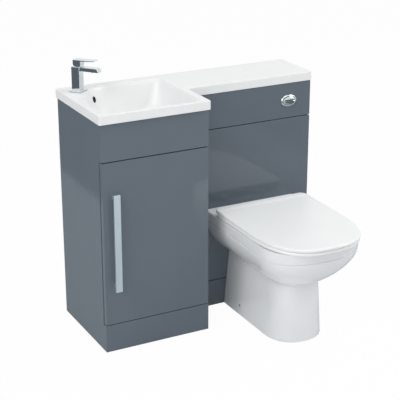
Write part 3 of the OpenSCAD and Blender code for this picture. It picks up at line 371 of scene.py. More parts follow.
def turned_brass():
    m = finish("turned_brass")
    place = place_on(m)
    ring = add(m, "ShaderNodeTexWave", {"Vector": place, "Scale": per_metre(1.5) / WAVES_PER_UNIT},
               bands_direction="Z")
    return coat(m, colours(m, noise(m, place, 10, 3.0), "#C9A961", "#A4854A"), 0.32,
                Normal=relief(m, ring, 0.2, 0.1), Metallic=1.0)


brass = turned_brass()

# %% [markdown]
# ### Injection moulded plastic and rubber
#
# The cistern, its valves, the trap and the pipes are polypropylene, injection moulded in spark
# eroded tools. That leaves a dull, even grain, about 0.3 mm across and drawn 1.5 mm across
# here. Seals are moulded rubber, duller still, with a bloom of talc. The small pads are soft
# clear urethane.

# %% Moulded plastic
def moulded(name, low_colour, high_colour, roughness, grain_mm, ior):
    m = finish(name)
    place = place_on(m)
    grain = noise(m, place, grain_mm, 2.0)
    return coat(m, colours(m, noise(m, place, 40, 3.0), low_colour, high_colour), roughness,
                Normal=relief(m, grain, 0.2, 0.1), IOR=ior)


white_plastic = moulded("moulded_white_polypropylene", "#DEDFDF", "#E8E9E9", 0.4, 1.5, 1.49)
blue_plastic = moulded("moulded_blue_polypropylene", "#4B76AC", "#5A87BC", 0.4, 1.5, 1.49)
rubber = moulded("moulded_black_rubber", "#151617", "#202224", 0.7, 1.0, 1.52)
soft_pad = moulded("moulded_clear_urethane", "#C3C8CC", "#D2D6D9", 0.25, 3.0, 1.49)

# %% [markdown]
# ### Giving the solids their finishes
#
# The record says which finish each solid takes. The names on the left are the record's.

# %% Finish every solid
FINISHES = {
    "lacquer_grey": lacquer, "carcass_white": melamine, "cast_marble": marble,
    "vitreous_china": china, "seat_plastic": urea, "chrome": chrome,
    "satin_aluminium": aluminium, "zinc_steel": zinc, "brass": brass,
    "white_plastic": white_plastic, "blue_plastic": blue_plastic, "rubber": rubber,
    "soft_pad": soft_pad,
}
slots = {part["node"]: part["material_slot"] for part in frame["record"]["subparts"]}
for name, solid in frame["nodes"].items():
    for holder in solid.material_slots:
        holder.material = FINISHES[slots[name]]
print("finished", len(slots), "solids with", len(FINISHES), "finishes")

# %% [markdown]
# ## Making pieces
#
# Two ways of making cover nearly everything here. A board or a bar is a plain block whose edges
# are rounded by a bevel, as a router or a spray gun rounds them. A cast or moulded form grows
# through a stack of outlines, from the floor upwards, which is how its mould is cut. Holes are
# cut afterwards, as they are in the workshop.

# %% Helpers for shapes
CREASE = 32
SOFTENED_CREASE = 60
BEVEL_STEPS = 3


def shade(thing, sharp):
    """Smooth shading, with a crease at each edge that turns by more than sharp degrees."""
    thing.data.shade_smooth()
    thing.data.set_sharp_from_angle(angle=math.radians(sharp))


def shade_flat_faces(thing, sharp):
    """Shades a piece so that its flat faces look flat right up to their rounded edges."""
    shade(thing, sharp)
    thing.modifiers.new("flat_faces", "WEIGHTED_NORMAL")


def mesh_of(name, rings, material):
    """A closed form through rings of points in mm."""
    build = bmesh.new()
    rows = [[build.verts.new(at(*p)) for p in ring] for ring in rings]
    for low, high in zip(rows, rows[1:]):
        for i in range(len(low)):
            j = (i + 1) % len(low)
            build.faces.new((low[i], low[j], high[j], high[i]))
    build.faces.new(list(reversed(rows[0])))
    build.faces.new(rows[-1])
    bmesh.ops.recalc_face_normals(build, faces=build.faces)
    mesh = bpy.data.meshes.new(name)
    build.to_mesh(mesh)
    build.free()
    mesh.materials.append(material)
    thing = bpy.data.objects.new(name, mesh)
    bpy.context.scene.collection.objects.link(thing)
    shade(thing, CREASE)
    return thing


def settle(thing):
    """Makes the modifiers of a piece part of its mesh."""
    graph = bpy.context.evaluated_depsgraph_get()
    thing.data = bpy.data.meshes.new_from_object(thing.evaluated_get(graph))
    thing.modifiers.clear()


def combine(thing, rings, operation):
    """Cuts or welds a form, made of the piece's own material, and puts it away."""
    tool = mesh_of("tool", rings, thing.data.materials[0])
    step = thing.modifiers.new("combine", "BOOLEAN")
    step.object = tool
    step.operation = operation
    step.solver = "EXACT"
    settle(thing)
    bpy.data.objects.remove(tool)


def cut(thing, rings):
    """Cuts a form out of a piece."""
    combine(thing, rings, "DIFFERENCE")


def weld(thing, rings):
    """Welds a form onto a piece."""
    combine(thing, rings, "UNION")


def soften(thing, radius_mm, angle=30):
    """Rounds the edges of a piece that turn by more than angle degrees."""
    edge = thing.modifiers.new("rounded_edges", "BEVEL")
    edge.width = radius_mm * MM
    edge.segments = BEVEL_STEPS
    edge.limit_method = "ANGLE"
    edge.angle_limit = math.radians(angle)
    settle(thing)
    shade_flat_faces(thing, SOFTENED_CREASE)


def fit(thing, body, slot, *nodes):
    """Fixes a piece to the body that carries it, in place of the solids that it stands for."""
    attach(thing, body)
    if nodes:
        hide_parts(*nodes)


def circle(sides):
    """The angles of evenly spaced points round a circle."""
    return [2 * math.pi * i / sides for i in range(sides)]


def block(low, high):
    """The rings of a square block between two corners."""
    (x0, y0, z0), (x1, y1, z1) = low, high
    return [[(x0, y0, z), (x1, y0, z), (x1, y1, z), (x0, y1, z)] for z in (z0, z1)]


def rod(start, end, radius, sides=48, end_radius=None):
    """The rings of a round bar between two points."""
    a, b = Vector(start), Vector(end)
    way = (b - a).normalized()
    side = way.orthogonal().normalized()
    up = way.cross(side)
    return [[c + r * (side * math.cos(t) + up * math.sin(t)) for t in circle(sides)]
            for c, r in ((a, radius), (b, radius if end_radius is None else end_radius))]


print("a round bar is drawn with", len(circle(48)), "sides")

# %% [markdown]
# ## Boards
#
# The cabinet's boards are cut from 18 mm board, and their edges are eased with a 1 mm round
# before spraying, so that the lacquer doesn't chip there. On the real unit that round is what
# draws a thin light line along every edge. Holes for the flush pipe, the soil outlet, the
# button's barrel and the hinge cups are bored through the same boards.

# %% Grey boards
PAN_MIDDLE = 650
FLUSH_Z = 335
OUTLET_Z = 180
BUTTON_X, BUTTON_Z = 805.6, 740.6
HINGE_CUP_X = 373.5
HINGE_CUP_HEIGHTS = (200, 576)
EASED_EDGE = 1.0

BOARDS = {
    "vanity_left_side": ((6, -350, 0), (24, 0, 806)),
    "vanity_right_side": ((378, -350, 0), (396, 0, 806)),
    "vanity_fascia": ((6, -370, 678), (396, -350, 806)),
    "vanity_plinth": ((6, -370, 0), (396, -350, 98.5)),
    "wc_left_side": ((396, -188, 0), (414, 0, 806)),
    "wc_right_side": ((878, -188, 0), (896, 0, 806)),
    "wc_upper_panel": ((396, -206, 678), (896, -188, 806)),
    "wc_lower_panel": ((396, -206, 101.5), (896, -188, 675)),
    "wc_plinth": ((396, -206, 0), (896, -188, 98.5)),
    "vanity_door": ((8, -371, 101.5), (394, -353, 675)),
}
# Each bore is x, z, where it starts, where it ends, and its radius
BORES = {
    "wc_upper_panel": [(BUTTON_X, BUTTON_Z, -215, -180, 20)],
    "wc_lower_panel": [(PAN_MIDDLE, FLUSH_Z, -215, -180, 32),
                       (PAN_MIDDLE, OUTLET_Z, -215, -180, 62)],
    "vanity_door": [(HINGE_CUP_X, z, -366, -350, 17.5) for z in HINGE_CUP_HEIGHTS],
}

for name, (low, high) in BOARDS.items():
    board = mesh_of("board_" + name, block(low, high), lacquer)
    for x, z, start, end, radius in BORES.get(name, []):
        cut(board, rod((x, start, z), (x, end, z), radius))
    soften(board, EASED_EDGE)
    fit(board, "door" if name == "vanity_door" else "unit", "lacquer_grey", name)
print("boards:", len(BOARDS))

# %% [markdown]
# ## Outlines
#
# The worktop, the basin, the pan, the seat and the lid are all drawn as outlines seen from
# above. A corner of the worktop or the basin is a plain arc. The pan, the seat and the lid
# share one family of outlines: straight sides from the wall, and a front that is fuller than a
# half circle but softer than a square, which is what a superellipse draws.

# %% Helpers for outlines
# A cutter passes a level face by CLEAR, so that the face is really cut
CLEAR = 0.02
FRONT_STEPS = 72
EGG_STEPS = 96
EGG_FULLNESS = 2.3


def rounded(corners, steps):
    """An outline with rounded corners, from corners given as x, y and radius."""
    outline = []
    for i, (x, y, radius) in enumerate(corners):
        b = Vector((x, y))
        u = (Vector(corners[i - 1][:2]) - b).normalized()
        v = (Vector(corners[(i + 1) % len(corners)][:2]) - b).normalized()
        half = u.angle(v) / 2
        middle = b + (u + v).normalized() * radius / math.sin(half)
        start = b + u * radius / math.tan(half) - middle
        end = b + v * radius / math.tan(half) - middle
        first = math.atan2(start.y, start.x)
        sweep = (math.atan2(end.y, end.x) - first + math.pi) % (2 * math.pi) - math.pi
        turns = [first + sweep * k / steps for k in range(steps + 1)]
        outline += [middle + radius * Vector((math.cos(t), math.sin(t))) for t in turns]
    return outline


def mix(a, b, share):
    """Numbers or points between those of two lists."""
    return [p * (1 - share) + q * share for p, q in zip(a, b)]


def grow(outline, distance):
    """An outline moved outwards."""
    moved = []
    for i, p in enumerate(outline):
        along = (outline[(i + 1) % len(outline)] - outline[i - 1]).normalized()
        moved.append(p + distance * Vector((along.y, -along.x)))
    return moved


def lift(outline, z):
    """An outline as a ring at a height."""
    return [Vector((p[0], p[1], z)) for p in outline]


def power(value, exponent):
    """A power that keeps the sign of its value."""
    return math.copysign(abs(value) ** exponent, value)


def plan(half_width, reach, curve, fullness, back, corner=1.0):
    """The outline of the pan, the seat or the lid, from its back left round the front."""
    inner = half_width - corner
    turns = [math.radians(90 + 90 * i / 8) for i in range(9)]
    left = [(corner * math.cos(t) - inner, back - corner + corner * math.sin(t)) for t in turns]
    front = []
    for i in range(1, FRONT_STEPS):
        t = math.pi - math.pi * i / FRONT_STEPS
        front.append((half_width * power(math.cos(t), 2 / fullness),
                      curve - reach - curve * power(math.sin(t), 2 / fullness)))
    right = [(-x, y) for x, y in reversed(left)]
    return [Vector((PAN_MIDDLE + x, y)) for x, y in left + front + right]


def egg(half_width, front, back):
    """A rounded opening of the pan or the seat."""
    middle, half = (front + back) / 2, (back - front) / 2
    turns = [2 * math.pi * (i + 0.5) / EGG_STEPS for i in range(EGG_STEPS)]
    return [Vector((PAN_MIDDLE + half_width * power(math.cos(t), 2 / EGG_FULLNESS),
                    middle + half * power(math.sin(t), 2 / EGG_FULLNESS))) for t in turns]


def through(keys, steps):
    """A stack of rings that runs smoothly through a few key rings."""
    gaps = [sum((p - q).length for p, q in zip(a, b)) / len(a) for a, b in zip(keys, keys[1:])]
    spots = [sum(gaps[:i]) for i in range(len(keys))]

    def slope(k, i):
        low, high = max(k - 1, 0), min(k + 1, len(keys) - 1)
        return (keys[high][i] - keys[low][i]) / (spots[high] - spots[low])

    rings = []
    for k, gap in enumerate(gaps):
        for s in range(steps):
            t = s / steps
            ring = []
            for i, (p, q) in enumerate(zip(keys[k], keys[k + 1])):
                ring.append(p * (2 * t**3 - 3 * t**2 + 1) + q * (3 * t**2 - 2 * t**3)
                            + slope(k, i) * gap * (t**3 - 2 * t**2 + t)
                            + slope(k + 1, i) * gap * (t**3 - t**2))
            rings.append(ring)
    return rings + [keys[-1]]


def fillet(outline, z, radius):
    """Rings that roll an opening's edge over, outwards, almost up to a level face at z."""
    return [lift(grow(outline, radius * (1 - math.cos(t))), z - radius * (1 - math.sin(t)))
            for t in [math.pi / 2 * i / 6 for i in range(6)]]


print("a pan outline has", len(plan(179, 725, 142, 2.5, -206.5)), "points")

# %% [markdown]
# ## The worktop and its basin
#
# One casting holds the L-shaped top, the bowl, the ledge for the tap and the overflow's way
# down to the waste. The mould's edges are all rounded, because sharp gelcoat chips: the bowl
# rolls into the top over 4 mm, and the front edge over 2.5 mm. The bowl is a smooth stack of
# five-cornered outlines, whose long sloping side is what makes room for the tap. A short sleeve
# in black rubber finish sits in the mouth of the overflow as painted shade: it stands for the
# shadow that falls inside the channel.

# %% Cast the worktop
TOP_THICK = 31
DRAIN = Vector((205, -200))
SEAT = 722
BOSS_LOW = 698
BOWL_ROLL = 4
EDGE_ROLL = 2.5
TAP_PLACE = (57, -65)
OVERFLOW = Vector((118, -80, 802))
OVERFLOW_WAY = Vector((-0.83, 0.56, 0))
CHANNEL = [(106, -72, 808), (106, -72, 708.5), (192, -183, 708.5)]
POCKET = ((412, -196, 800), (888, -12, 825))
MOUTH_RADIUS = 36
BOSS_RADIUS = 40
DRAIN_BORE = 22.5
TAP_BORE = 17.5
OVERFLOW_BORE = 11
SHADE_SLEEVE_LENGTH = 18.8
SHADE_SLEEVE_RADIUS = 10.9
SHADE_SLEEVE_BORE = 9.6
ARC_STEPS = 14


def upright(place, low, high, radius):
    """The rings of an upright round bar."""
    return rod((*place, low), (*place, high), radius)


def along_overflow(start, end, radius):
    """The rings of a round bar along the overflow, from its mouth into the casting."""
    return rod(OVERFLOW + start * OVERFLOW_WAY, OVERFLOW + end * OVERFLOW_WAY, radius)


rim = rounded([(14, -364, 34), (372, -364, 28), (372, -38, 34), (116, -38, 100),
               (32, -168, 100)], ARC_STEPS)
waist = rounded([(34, -341, 40), (366, -341, 34), (366, -46, 40), (124, -46, 98),
                 (46, -172, 95)], ARC_STEPS)
bottom = rounded([(62, -322, 60), (330, -322, 56), (330, -84, 60), (142, -84, 90),
                  (78, -186, 90)], ARC_STEPS)
mouth = [DRAIN + MOUTH_RADIUS * (p - DRAIN).normalized() for p in bottom]
lower, halfway, upper = [mix(waist, bottom, share) for share in (0.75, 0.45, 0.2)]

bowl = through([
    lift(mouth, TOP - 115), lift(bottom, TOP - 112), lift(lower, TOP - 104),
    lift(halfway, TOP - 86), lift(upper, TOP - 60), lift(waist, TOP - 31),
    lift(mix(rim, waist, 0.4), TOP - 11), lift(rim, TOP - BOWL_ROLL - 0.5),
], 5)
bowl += fillet(grow(rim, 0.2), TOP, BOWL_ROLL)
bowl += [lift(grow(rim, BOWL_ROLL), TOP + CLEAR), lift(grow(rim, BOWL_ROLL + 0.5), TOP + 3)]

shell = [
    lift(grow(bottom, 2), TOP - 120), lift(grow(lower, 7), TOP - 113),
    lift(grow(halfway, 8), TOP - 90), lift(grow(upper, 8), TOP - 62),
    lift(grow(waist, 7.5), TOP - 32), lift(grow(waist, 7.5), TOP - 20),
]

outline = rounded([(0, 0, 2), (0, -378, 5), (400, -378, 5), (400, -208, 2), (900, -208, 5),
                   (900, 0, 2)], 6)
edge = [lift(grow(outline, -0.8), TOP - TOP_THICK), lift(outline, TOP - TOP_THICK + 0.8)]
edge += [lift(grow(outline, EDGE_ROLL * (math.cos(t) - 1)), TOP + EDGE_ROLL * (math.sin(t) - 1))
         for t in [math.pi / 2 * i / 5 for i in range(6)]]
worktop = mesh_of("cast_worktop", edge, marble)
cut(worktop, block(*POCKET))
weld(worktop, shell)
weld(worktop, upright(DRAIN, BOSS_LOW, SEAT, BOSS_RADIUS))
weld(worktop, rod(CHANNEL[0], CHANNEL[1], 9.5))
weld(worktop, rod(CHANNEL[1], CHANNEL[2], 9.4))
weld(worktop, along_overflow(2, 24, 15))
cut(worktop, bowl)
cut(worktop, upright(DRAIN, 690, 740, DRAIN_BORE))
cut(worktop, upright(TAP_PLACE, 800, 840, TAP_BORE))
cut(worktop, along_overflow(-12, 19, OVERFLOW_BORE))
shade_flat_faces(worktop, CREASE)
fit(worktop, "unit", "cast_marble", "worktop_basin")

# The black sleeve in the overflow's mouth is painted shade, for the shadow inside the channel.
painted_shade_sleeve = mesh_of("overflow_painted_shade", along_overflow(0, SHADE_SLEEVE_LENGTH, SHADE_SLEEVE_RADIUS), rubber)
cut(painted_shade_sleeve, bowl)
cut(painted_shade_sleeve, along_overflow(-1, 18, SHADE_SLEEVE_BORE))
fit(painted_shade_sleeve, "unit", "rubber")
print("worktop faces:", len(worktop.data.polygons))

# %% [markdown]
# ## The toilet pan
#
# The pan is cast hollow in plaster moulds. Its foot tapers a little as it rises to a crisp
# neck, and above the neck the bowl swells out, fast at first and then nearly upright, to a
# groove under the rim. Each of these is a stack of outlines whose half width, reach, curve and
# fullness change with the height. A small cap covers the head of each fixing screw.

# %% Cast the pan
PAN_BACK = -206.5
NECK_Z = 214
GROOVE_Z = 341
RIM_Z = 382
WALL = 12
FOOT_LOW = (103, 609, 115, 2.25)
FOOT_HIGH = (82, 598, 120, 3)
NECK = (86, 600, 160, 2.8)
BELLY = (179, 725, 142, 2.5)
SCREW_Y, SCREW_Z = -318, 34
SCREW_BORE = 5
CAP_X, CAP_RADIUS, CAP_END_RADIUS, CAP_THICK = 97, 4.8, 4.2, 1.8
SEAT_BOLT_X, SEAT_BOLT_Y = 77.5, -258
SEAT_BOLT_BORE = 7
TRAP_RADIUS, TRAP_BORE = 39, 30
OUTLET_RADIUS, OUTLET_BORE = 51, 43
INLET_RADIUS, INLET_BORE, INLET_SOCKET = 35, 20.5, 27.5
PAN_CREASE = 42


def pan_ring(z, shape, inset=0.0):
    """An outline of the pan, from its half width, reach, curve and fullness."""
    return lift(plan(shape[0] - inset, shape[1] - inset, shape[2] - inset, shape[3], PAN_BACK), z)


def foot_shape(share):
    """The foot's shape, by its share of the way up to the neck."""
    return mix(FOOT_LOW, FOOT_HIGH, share)


def bowl_ring(share, inset=0.0):
    """An outline of the bowl, by its share of the way from the neck up to the groove."""
    swell = (1 - (1 - share) ** 1.5) ** 0.79
    return pan_ring(NECK_Z + (GROOVE_Z - NECK_Z) * share, mix(NECK, BELLY, swell), inset)


outside = [pan_ring(0, foot_shape(0), 1.5), pan_ring(1.5, foot_shape(0.007))]
outside += [pan_ring(NECK_Z * s, foot_shape(s)) for s in [i / 12 * 0.95 for i in range(1, 13)]]
outside += [pan_ring(NECK_Z - drop, mix(FOOT_HIGH, NECK, share))
            for drop, share in ((6, 0.08), (2.5, 0.25))]
outside += [bowl_ring((i / 26) ** 1.7) for i in range(3, 27)]
outside += [pan_ring(GROOVE_Z + z, BELLY, inset) for z, inset in (
    (0.6, 0.6), (1.2, 2.2), (2.0, 3.0), (3.0, 3.0), (4.0, 2.0), (4.7, 0.4), (6.0, -0.6),
    (10, -1.2), (22, -2.0), (35, -2.0), (38, -1.4), (39.6, -0.2), (40.6, 1.6), (41, 4.0))]
pan = mesh_of("cast_pan", outside, china)

hollow = [pan_ring(z, foot_shape(share), WALL) for z, share in ((-1, 0), (110, 0.5), (205, 0.95))]
hollow += [bowl_ring(share, WALL) for share in (0.1, 0.35, 0.7, 1)]
hollow.append(pan_ring(RIM_Z - 16, BELLY, WALL))
cut(pan, hollow)

# Each level of the bowl's inside is its height, half width, front and back
LEVELS = [(88, 20, -502, -458), (110, 33, -514, -452), (150, 38, -530, -448),
          (195, 47, -558, -444), (225, 62, -596, -438), (260, 84, -640, -430),
          (300, 104, -672, -422), (340, 116, -692, -415), (374, 120, -699, -409)]
BOWL_WALL = 11
# Below NECK_CLEARED, the bowl's wall stays behind the front of the neck
NECK_CLEARED = 230
BEHIND_NECK = -586
inner_bowl = through([lift(egg(w, f, b), z) for z, w, f, b in LEVELS], 4)
last = egg(*LEVELS[-1][1:])
inner_bowl += fillet(grow(last, 0.3), RIM_Z, 7)
inner_bowl += [lift(grow(last, 7.3), RIM_Z + CLEAR), lift(grow(last, 8), RIM_Z + 3)]
outer_bowl = []
for z, half_width, front, back in LEVELS:
    reach = front - BOWL_WALL if z >= NECK_CLEARED else max(front - BOWL_WALL, BEHIND_NECK)
    outer_bowl.append(lift(egg(half_width + BOWL_WALL, reach, back + BOWL_WALL), z - BOWL_WALL))
TRAPWAY = [(-492, 100), (-470, 120), (-430, 170), (-398, 205), (-368, 214), (-335, 208),
           (-305, 188), (-285, OUTLET_Z), (-262, OUTLET_Z)]


def bent_pipe(route, radius):
    """The rings of a pipe that follows points, given as y and z, in the middle of the pan."""
    rings = []
    for i, (y, z) in enumerate(route):
        before, after = route[max(i - 1, 0)], route[min(i + 1, len(route) - 1)]
        way = Vector((after[0] - before[0], after[1] - before[1])).normalized()
        rings.append([(PAN_MIDDLE + radius * math.cos(t), y - radius * math.sin(t) * way.y,
                       z + radius * math.sin(t) * way.x) for t in circle(48)])
    return rings


def pan_tube(z, start, end, radius):
    """The rings of a level tube in the middle of the pan, towards the wall."""
    return rod((PAN_MIDDLE, start, z), (PAN_MIDDLE, end, z), radius)


def across_pan(start, end, *sizes):
    """The rings of a level bar across the foot, in line with its fixing screws."""
    return rod((PAN_MIDDLE + start, SCREW_Y, SCREW_Z), (PAN_MIDDLE + end, SCREW_Y, SCREW_Z),
               *sizes)


weld(pan, outer_bowl)
weld(pan, bent_pipe(TRAPWAY, TRAP_RADIUS))
weld(pan, pan_tube(OUTLET_Z, -288, -222, OUTLET_RADIUS))
weld(pan, pan_tube(FLUSH_Z, -416, -226, INLET_RADIUS))
cut(pan, inner_bowl)
cut(pan, bent_pipe(TRAPWAY, TRAP_BORE))
cut(pan, pan_tube(OUTLET_Z, -278, -221, OUTLET_BORE))
cut(pan, pan_tube(FLUSH_Z, -425, -225, INLET_BORE))
cut(pan, pan_tube(FLUSH_Z, -256, -225, INLET_SOCKET))
cut(pan, across_pan(-120, 120, SCREW_BORE))
for side in (-1, 1):
    cut(pan, upright((PAN_MIDDLE + side * SEAT_BOLT_X, SEAT_BOLT_Y), 340, 390, SEAT_BOLT_BORE))
shade_flat_faces(pan, PAN_CREASE)
fit(pan, "unit", "vitreous_china", "pan")
for side in (-1, 1):
    cap = mesh_of("fixing_cap", across_pan(
        side * CAP_X, side * (CAP_X + CAP_THICK), CAP_RADIUS, 32, CAP_END_RADIUS), rubber)
    fit(cap, "unit", "rubber")
print("pan faces:", len(pan.data.polygons))

# %% [markdown]
# ## The seat and the lid
#
# Both are pressed in urea plastic about 12 mm thick, with edges rounded so that they are kind
# to the skin. The lid's top isn't flat: a raised band, 26 mm wide, runs along its back edge,
# and the rest of its face lies 2.4 mm lower.

# %% Press the seat
SEAT_LOW = 385.5
SEAT_HIGH = 397.5
PIN_Y, PIN_Z = -258, 395
BARREL_RADIUS, PIN_BORE = 7, 3.6


def seat_ring(z, inset):
    """The seat's outline at a height, drawn in by inset."""
    return lift(plan(182 - inset, 756 - inset, 257 - inset, 2.8, -290 - inset * 0.6, 20), z)


def hinge_lug(thing, side, x0, x1, front, low, high):
    """A lug from the back edge to a barrel round the hinge pin, welded on and bored."""
    a, b = sorted((PAN_MIDDLE + side * x0, PAN_MIDDLE + side * x1))
    weld(thing, block((a, front, low), (b, PIN_Y, high)))
    weld(thing, rod((a, PIN_Y, PIN_Z), (b, PIN_Y, PIN_Z), BARREL_RADIUS))
    cut(thing, rod((a - 1, PIN_Y, PIN_Z), (b + 1, PIN_Y, PIN_Z), PIN_BORE))


seat = mesh_of("pressed_seat", [seat_ring(z, inset) for z, inset in (
    (SEAT_LOW, 2), (SEAT_LOW + 0.6, 0.7), (SEAT_LOW + 2, 0), (SEAT_HIGH - 6, 0),
    (SEAT_HIGH - 3.5, 0.7), (SEAT_HIGH - 1.6, 2.4), (SEAT_HIGH - 0.4, 5), (SEAT_HIGH, 8))], urea)
opening = egg(112, -688, -416)
cut(seat, [
    lift(grow(opening, 1), SEAT_LOW - 1), lift(opening, SEAT_LOW + 1),
    *fillet(opening, SEAT_HIGH, 5),
    lift(grow(opening, 5), SEAT_HIGH + CLEAR), lift(grow(opening, 6), SEAT_HIGH + 2)])
for side in (-1, 1):
    hinge_lug(seat, side, 62.2, 72.2, -296, SEAT_LOW + 2.5, SEAT_HIGH - 0.3)
shade_flat_faces(seat, CREASE)
fit(seat, "seat", "seat_plastic", "toilet_seat")
print("seat faces:", len(seat.data.polygons))

# %% Press the lid
LID_LOW = 399
LID_HIGH = 412
LID_BACK = -278
LID_EDGE = 3.5
BAND = 26
BAND_STEP = 2.4
STEP_WIDTH = 6


def lid_ring(z, inset):
    """The lid's outline at a height, drawn in by inset."""
    return lift(plan(185 - inset, 761 - inset, 266 - inset, 2.75, LID_BACK - inset * 0.6, 22), z)


def on_lid(points, drop=0.0):
    """A ring on the lid's face: the band at the back, and the step down from it."""
    ring = []
    for x, y, *_ in points:
        past = min(max((LID_BACK - BAND - y) / STEP_WIDTH, 0), 1)
        ring.append(Vector((x, y, LID_HIGH - BAND_STEP * past * past * (3 - 2 * past) - drop)))
    return ring


lid_rings = [lid_ring(LID_LOW + z, inset) for z, inset in (
    (0, 4), (0.5, 2.2), (1.5, 0.9), (3, 0.2), (4.5, 0))]
for t in [math.pi / 2 * i / 7 for i in range(1, 8)]:
    inset = 1.6 * LID_EDGE * (1 - math.cos(t))
    lid_rings.append(on_lid(lid_ring(0, inset), LID_EDGE * (1 - math.sin(t))))
middle_of_lid = Vector((PAN_MIDDLE, -500))
edge_ring = [Vector((p[0], p[1])) for p in lid_rings[-1]]
for share in [i / 30 for i in range(1, 30)]:
    lid_rings.append(on_lid([p + (middle_of_lid - p) * share for p in edge_ring]))
lid = mesh_of("pressed_lid", lid_rings, urea)
recess = plan(173, 749, 254, 2.75, -288, 16)
cut(lid, [lift(recess, LID_LOW - 1), lift(recess, LID_LOW + 4),
          lift(grow(recess, -1), LID_LOW + 5)])
for side in (-1, 1):
    hinge_lug(lid, side, 82.8, 92.8, -282, LID_LOW - 7, LID_LOW + 3)
shade_flat_faces(lid, CREASE)
fit(lid, "lid", "seat_plastic", "toilet_lid")
print("lid faces:", len(lid.data.polygons))

# %% [markdown]
# ## The tap
#
# The tap is a square brass casting, ground flat, polished and chromed. Its corners are kept
# crisp, about 0.8 mm round, because that is the whole look of a square tap: each edge catches
# one bright line. Its parts are drawn in the tap's own frame, along the spout, and then turned
# towards the user on its ledge.

# %% Cast the tap
TAP_TURN = math.radians(-52)
SPOUT = [(14, 73), (87, 73), (81, 86), (14, 86)]
SPOUT_HALF = 12
AERATOR_X, AERATOR_BORE = 62, 9.05
CARTRIDGE_BORE = 13
SHANK_RADIUS = 16.5
LEVER_HALF = 14
TONGUE_Z, TONGUE_RADIUS, TONGUE_HALF, TONGUE_BORE = 80, 3.5, 3, 1.55
TAP_CREASE = 40


def tap(x, y, z):
    """A point in the tap's own frame, along the spout, in the fitter's frame."""
    return (TAP_PLACE[0] + x * math.cos(TAP_TURN) - y * math.sin(TAP_TURN),
            TAP_PLACE[1] + x * math.sin(TAP_TURN) + y * math.cos(TAP_TURN), TOP + z)


def tap_block(low, high):
    """The rings of a block in the tap's own frame."""
    return [[tap(*point) for point in ring] for ring in block(low, high)]


def tap_slice(profile, half_width):
    """A form cut from a side view of the tap, as wide as the spout or the lever."""
    return [[tap(x, y, z) for x, z in profile] for y in (-half_width, half_width)]


def tap_rod(x, low, high, radius):
    """The rings of an upright round bar in the tap's own frame."""
    return rod(tap(x, 0, low), tap(x, 0, high), radius)


tap_body = mesh_of("chromed_tap_body", tap_block((-15, -15, 4), (15, 15, 86)), chrome)
weld(tap_body, tap_block((-23.2, -23.2, 0.8), (23.2, 23.2, 5)))
weld(tap_body, tap_slice(SPOUT, SPOUT_HALF))
soften(tap_body, 0.8)
cut(tap_body, tap_rod(0, 52, 92, CARTRIDGE_BORE))
cut(tap_body, tap_rod(AERATOR_X, 67, 78, AERATOR_BORE))
weld(tap_body, tap_rod(0, -12, 1, SHANK_RADIUS))
shade_flat_faces(tap_body, TAP_CREASE)
fit(tap_body, "unit", "chrome", "tap_body")

lever = mesh_of("chromed_tap_lever", tap_slice([
    (-4, 89), (-5.6, 90.2), (-7, 91.8), (-8.2, 93.6), (-9, 95.4), (-9, 110.4), (40, 110.9),
    (57, 111.7), (73, 113), (73.5, 110.4), (57, 108.6), (40, 107.4), (20, 106.6),
    (20, 89)], LEVER_HALF), chrome)
soften(lever, 0.6, 35)
half_turn = [math.pi * i / 16 for i in range(17)]
tongue = [(TONGUE_RADIUS * math.cos(t), TONGUE_Z - TONGUE_RADIUS * math.sin(t))
          for t in half_turn]
weld(lever, tap_slice([(TONGUE_RADIUS, 90), *tongue, (-TONGUE_RADIUS, 90)], TONGUE_HALF))
cut(lever, rod(tap(0, 4, TONGUE_Z), tap(0, -4, TONGUE_Z), TONGUE_BORE, 32))
shade(lever, TAP_CREASE)
fit(lever, "tap_handle", "chrome", "tap_lever")
print("tap faces:", len(tap_body.data.polygons) + len(lever.data.polygons))

# %% [markdown]
# ## The plug
#
# The plug is turned on a lathe, so it is drawn as a profile that is spun round its middle. Its
# edge is rolled over, and its top is a shallow dome that keeps the last water moving.

# %% Turn the plug
PLUG_PROFILE = [
    (3.5, 680), (3.5, 731), (28.8, 731), (29.7, 731.4), (30, 732.1), (29.7, 732.9), (28.6, 733.5),
    (24, 734.3), (18, 734.9), (12, 735.3), (6, 735.45), (1, 735.5)]
plug = mesh_of("turned_plug", [
    [(DRAIN.x + r * math.cos(t), DRAIN.y + r * math.sin(t), z) for t in circle(96)]
    for r, z in PLUG_PROFILE], chrome)
shade(plug, 40)
fit(plug, "plug", "chrome", "waste_plug")
print("plug faces:", len(plug.data.polygons))

# %% [markdown]
# ## The flush button
#
# The button is moulded in ABS and chromed. An oval ring with a rolled edge sits on the panel,
# and the two keys inside it are slightly domed, so that each mirrors a different part of the
# room: that is why one looks bright and the other dark.

# %% Mould the flush button
FACE = -206
KEY_HALF_X, KEY_HALF_Z = 24.5, 15.5
KEY_GAP = 0.4
DOME = 1.6
HOUSING_RADIUS, HOUSING_BORE = 19, 16
NOZZLE_RADIUS, NOZZLE_TOP = 2.5, 767.6
STEM_RADIUS = 3


def oval(half_x, half_z, y):
    """An upright ring round the button's middle."""
    return [(BUTTON_X + half_x * math.cos(t), y, BUTTON_Z + half_z * math.sin(t))
            for t in circle(72)]


def button_rod(start, end, radius, sides=48, rise=0):
    """The rings of a round bar straight into the panel, from the button's middle."""
    z = BUTTON_Z + rise
    return rod((BUTTON_X, start, z), (BUTTON_X, end, z), radius, sides)


